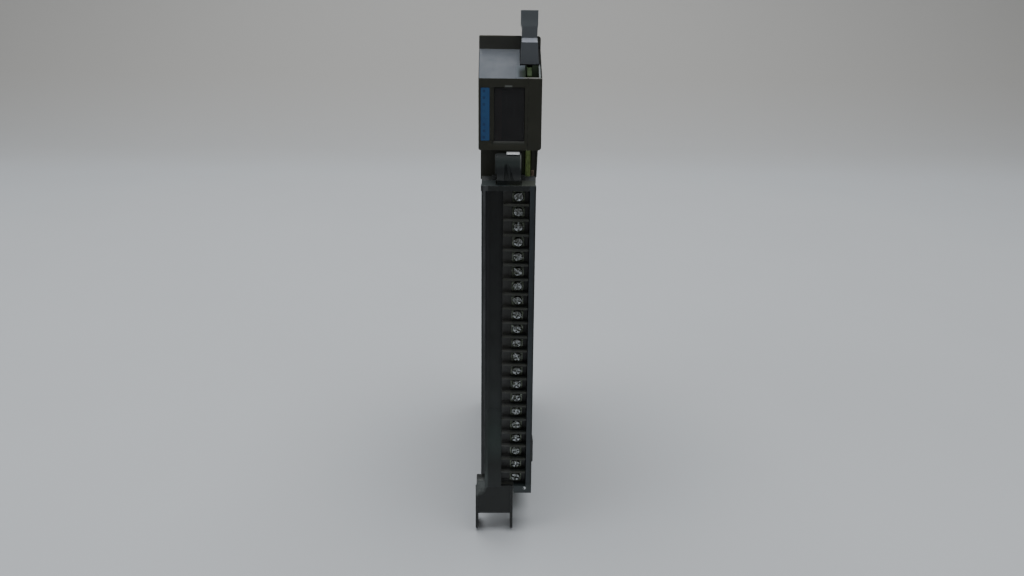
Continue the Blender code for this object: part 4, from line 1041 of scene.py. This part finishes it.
def cover_lip():
    """Outer edge of the cover, a little proud of it in the gap between the bezel and the arm."""
    low, high = module_box("solder_side_cover")
    right = max(high.x, module_box("component_cover")[1].x)
    foot, top = 189.2, BEZEL_FOOT - 0.3
    outline = [(right - 0.3, foot), (right + 0.3, foot), (right + 0.8, top), (right - 0.3, top)]
    lip = prism_object("cover_lip", "XZ", outline, low.y - 0.3, low.y + 3.0)
    soften(lip, 0.15, 2)
    finish_piece(lip, "module", "housing", housing)


def slot_lip():
    """Thin films on the slope on both sides of the open slot, that carry painted light and shade."""
    right, gap = 15.3, 0.03
    wider = NOTCH_RIGHT + NOTCH_WIDENING
    films = ((3.0, 7.25, SLOT_FRONT, 8.5), (NOTCH_RIGHT + gap, right, 0.5, 8.5),
             (wider + gap, right, NOTCH_FRONT, BAND_Y - 0.3))
    shape = bmesh.new()
    for low_x, high_x, front, back in films:
        corners = ((front, -0.05), (back, -0.05), (back, 0.06), (front, 0.06))
        add_prism(shape, "YZ", [(y, slope_z(y) + rise) for y, rise in corners], low_x, high_x)
    finish_piece(to_object(shape, "slot_lip"), "module", "housing", light_and_shade_film)


def floor_fairing():
    """Fillet that brings the channel's floor down to the clip's front, which stands further forward."""
    top, back, steps = 66.0, 2.4, 16
    front = []
    for i in range(steps + 1):
        share = i / steps
        front.append((1.93 - 7.0 * (0.5 - 0.5 * math.cos(math.pi * share)), top - 42.4 * share))
    outline = front + [(-4.8, 23.3), (back, 31.0), (back, top)]
    fairing = prism_object("floor_fairing", "YZ", outline, -12.1, -3.15)
    soften(fairing, 0.02, 1)
    finish_piece(fairing, "wiring_arm", "arm", fairing_plastic)


def web_lip():
    """Thickened lower edge of the clip's web, between its two prongs."""
    low, high = module_box("pivot_clip")
    lip = box_object("web_lip", (low.x + 0.8, -4.9, 7.8), (high.x - 0.8, -3.1, 8.65))
    soften(lip, 0.1, 2)
    finish_piece(lip, "wiring_arm", "arm", clip_plastic)


def side_label():
    """Blank rating card stuck on the component side."""
    outline = rounded_rectangle(64.0, 86.0, 122.0, 168.0, 2.0, 6)
    label = prism_object("side_label", "YZ", outline, COVER_LEFT - 0.18, COVER_LEFT + 0.02)
    finish_piece(label, "module", "label", card)


# ---- CAD nodes that keep their shape

def keep_nodes():
    """CAD nodes that keep their shape: finish, edge rounding and its segments."""
    refine_node("component_cover", housing, 0.5, 3)
    refine_node("solder_side_cover", housing, 0.5, 3)
    refine_node("main_board", board_green, 0.12, 1)
    refine_node("indicator_board", chip_black, 0.1, 1)
    refine_node("indicator_lamps", lamp_red, 0.08)
    refine_node("arm_channel", channel_plastic, 0.2, 3)
    refine_node("pivot_clip", clip_plastic, 0.2, 3)
    refine_node("edge_connector", chip_black, 0.25)
    for pin in ("latch_pin", "ejector_pin"):
        refine_node(pin, steel, 0.1)
    for i in (1, 2, 3, 4):
        refine_node("cover_screw_%d" % i, steel, 0.08)
        refine_node("board_standoff_%d" % i, brass, 0.1)
    for i in (1, 2):
        refine_node("clip_screw_%d" % i, steel, 0.08)
        refine_node("filter_capacitor_%d" % i, sleeve, 0.2)
    for i in (1, 2, 3):
        refine_node("opto_bank_%d" % i, chip_black, 0.2)
        refine_node("logic_chip_%d" % i, chip_black, 0.2)
    refine_node("pulse_transformer", tape, 0.2)
    refine_node("regulator_heat_sink", aluminium, 0.15)
    refine_node("board_fuse", ceramic, 0.1)


# ---- floor, light and camera

def stage():
    """Pale floor with a far sweep; the leaning module touches it at its clip toes and rear board corner."""
    toe_y, toe_z = 4.5, -2.6
    heel_y, heel_z = 143.5, module_box("main_board")[0].z
    lean = math.atan2(heel_z - toe_z, heel_y - toe_y)
    half_width, sweep_start, sweep = 20000.0, 1200.0, 700.0
    profile = [(-6000.0, 0.0)] + arc(sweep_start, sweep, sweep, -90, 0, 18) + [(sweep_start + sweep, 2600.0)]
    shape = bmesh.new()
    left, right = [[shape.verts.new((x, y, z)) for y, z in profile] for x in (-half_width, half_width)]
    for i in range(len(profile) - 1):
        face = shape.faces.new((left[i], right[i], right[i + 1], left[i + 1]))
        face.smooth = True
    mesh = to_mesh(shape, "floor")
    mesh.transform(Matrix.Scale(MM, 4))
    floor = link("floor", mesh)
    floor.location = TO_FRAME @ Vector((0.0, toe_y, toe_z - 0.02))
    floor.rotation_euler = (lean, 0.0, 0.0)
    look = Finish("floor_paint", 0.6)
    paint = look.blend(look.noise(6, 3), (0.485, 0.508, 0.532), (0.515, 0.538, 0.562))
    look.colour(look.blend(look.spread(look.axis("Y"), 1.0, 1.6), paint, (0.425, 0.42, 0.405)))
    floor.data.materials.append(look.done())


def area_light(name, place, aim, size, power, colour):
    data = bpy.data.lights.new(name, "AREA")
    data.shape = "RECTANGLE"
    data.size, data.size_y = size
    data.energy = power
    data.color = colour
    light = link(name, data)
    light.location = place
    light.rotation_euler = (Vector(aim) - Vector(place)).to_track_quat("-Z", "Y").to_euler()


def lights():
    """Wide ceiling panel, soft window on the left and a pale room, dimmer on the camera's side."""
    area_light("ceiling", (0.0, 0.15, 1.9), (0.0, 0.15, 0.0), (2.3, 2.1), 42, (0.97, 0.985, 1.0))
    area_light("window_left", (-1.5, -0.6, 0.9), (0.0, 0.0, 0.15), (0.9, 1.1), 4, (0.95, 0.97, 1.0))
    world = bpy.data.worlds.new("room")
    world.use_nodes = True
    tree = world.node_tree
    background = tree.nodes["Background"]
    background.inputs["Strength"].default_value = 0.5
    place = tree.nodes.new("ShaderNodeTexCoord").outputs["Generated"]
    split = tree.nodes.new("ShaderNodeSeparateXYZ")
    tree.links.new(place, split.inputs["Vector"])
    ramp = tree.nodes.new("ShaderNodeMapRange")
    tree.links.new(split.outputs["Y"], ramp.inputs["Value"])
    for socket, number in (("From Min", -1.0), ("From Max", 0.4), ("To Min", 0.35), ("To Max", 1.0)):
        ramp.inputs[socket].default_value = number
    tree.links.new(ramp.outputs["Result"], background.inputs["Color"])
    bpy.context.scene.world = world


def camera():
    """Eye level just above the middle of the module, about 0.38 m in front of the bezel."""
    data = bpy.data.cameras.new("camera")
    data.sensor_width = 36.0
    data.lens = 26.925
    data.clip_start = 0.01
    view = link("camera", data)
    yaw, pitch, roll = math.radians(1.429), math.radians(13.80), math.radians(0.582)
    view.location = TO_FRAME @ Vector((-7.778, -383.285, 227.80))
    turn = Matrix.Rotation(-yaw, 4, "Z") @ Matrix.Rotation(math.pi / 2 - pitch, 4, "X")
    view.rotation_euler = (turn @ Matrix.Rotation(roll, 4, "Z")).to_euler()
    bpy.context.scene.camera = view


bezel_shell()
window_pane()
label_strip()
lever_body()
latch_tab()
latch_leaf()
barrier_strip()
terminals()
contact_fingers()
connector_springs()
contact_tail()
ledge_ramps()
latch_apron()
slot_floor()
slot_lip()
cover_lip()
floor_fairing()
web_lip()
side_label()
keep_nodes()
stage()
lights()
camera()
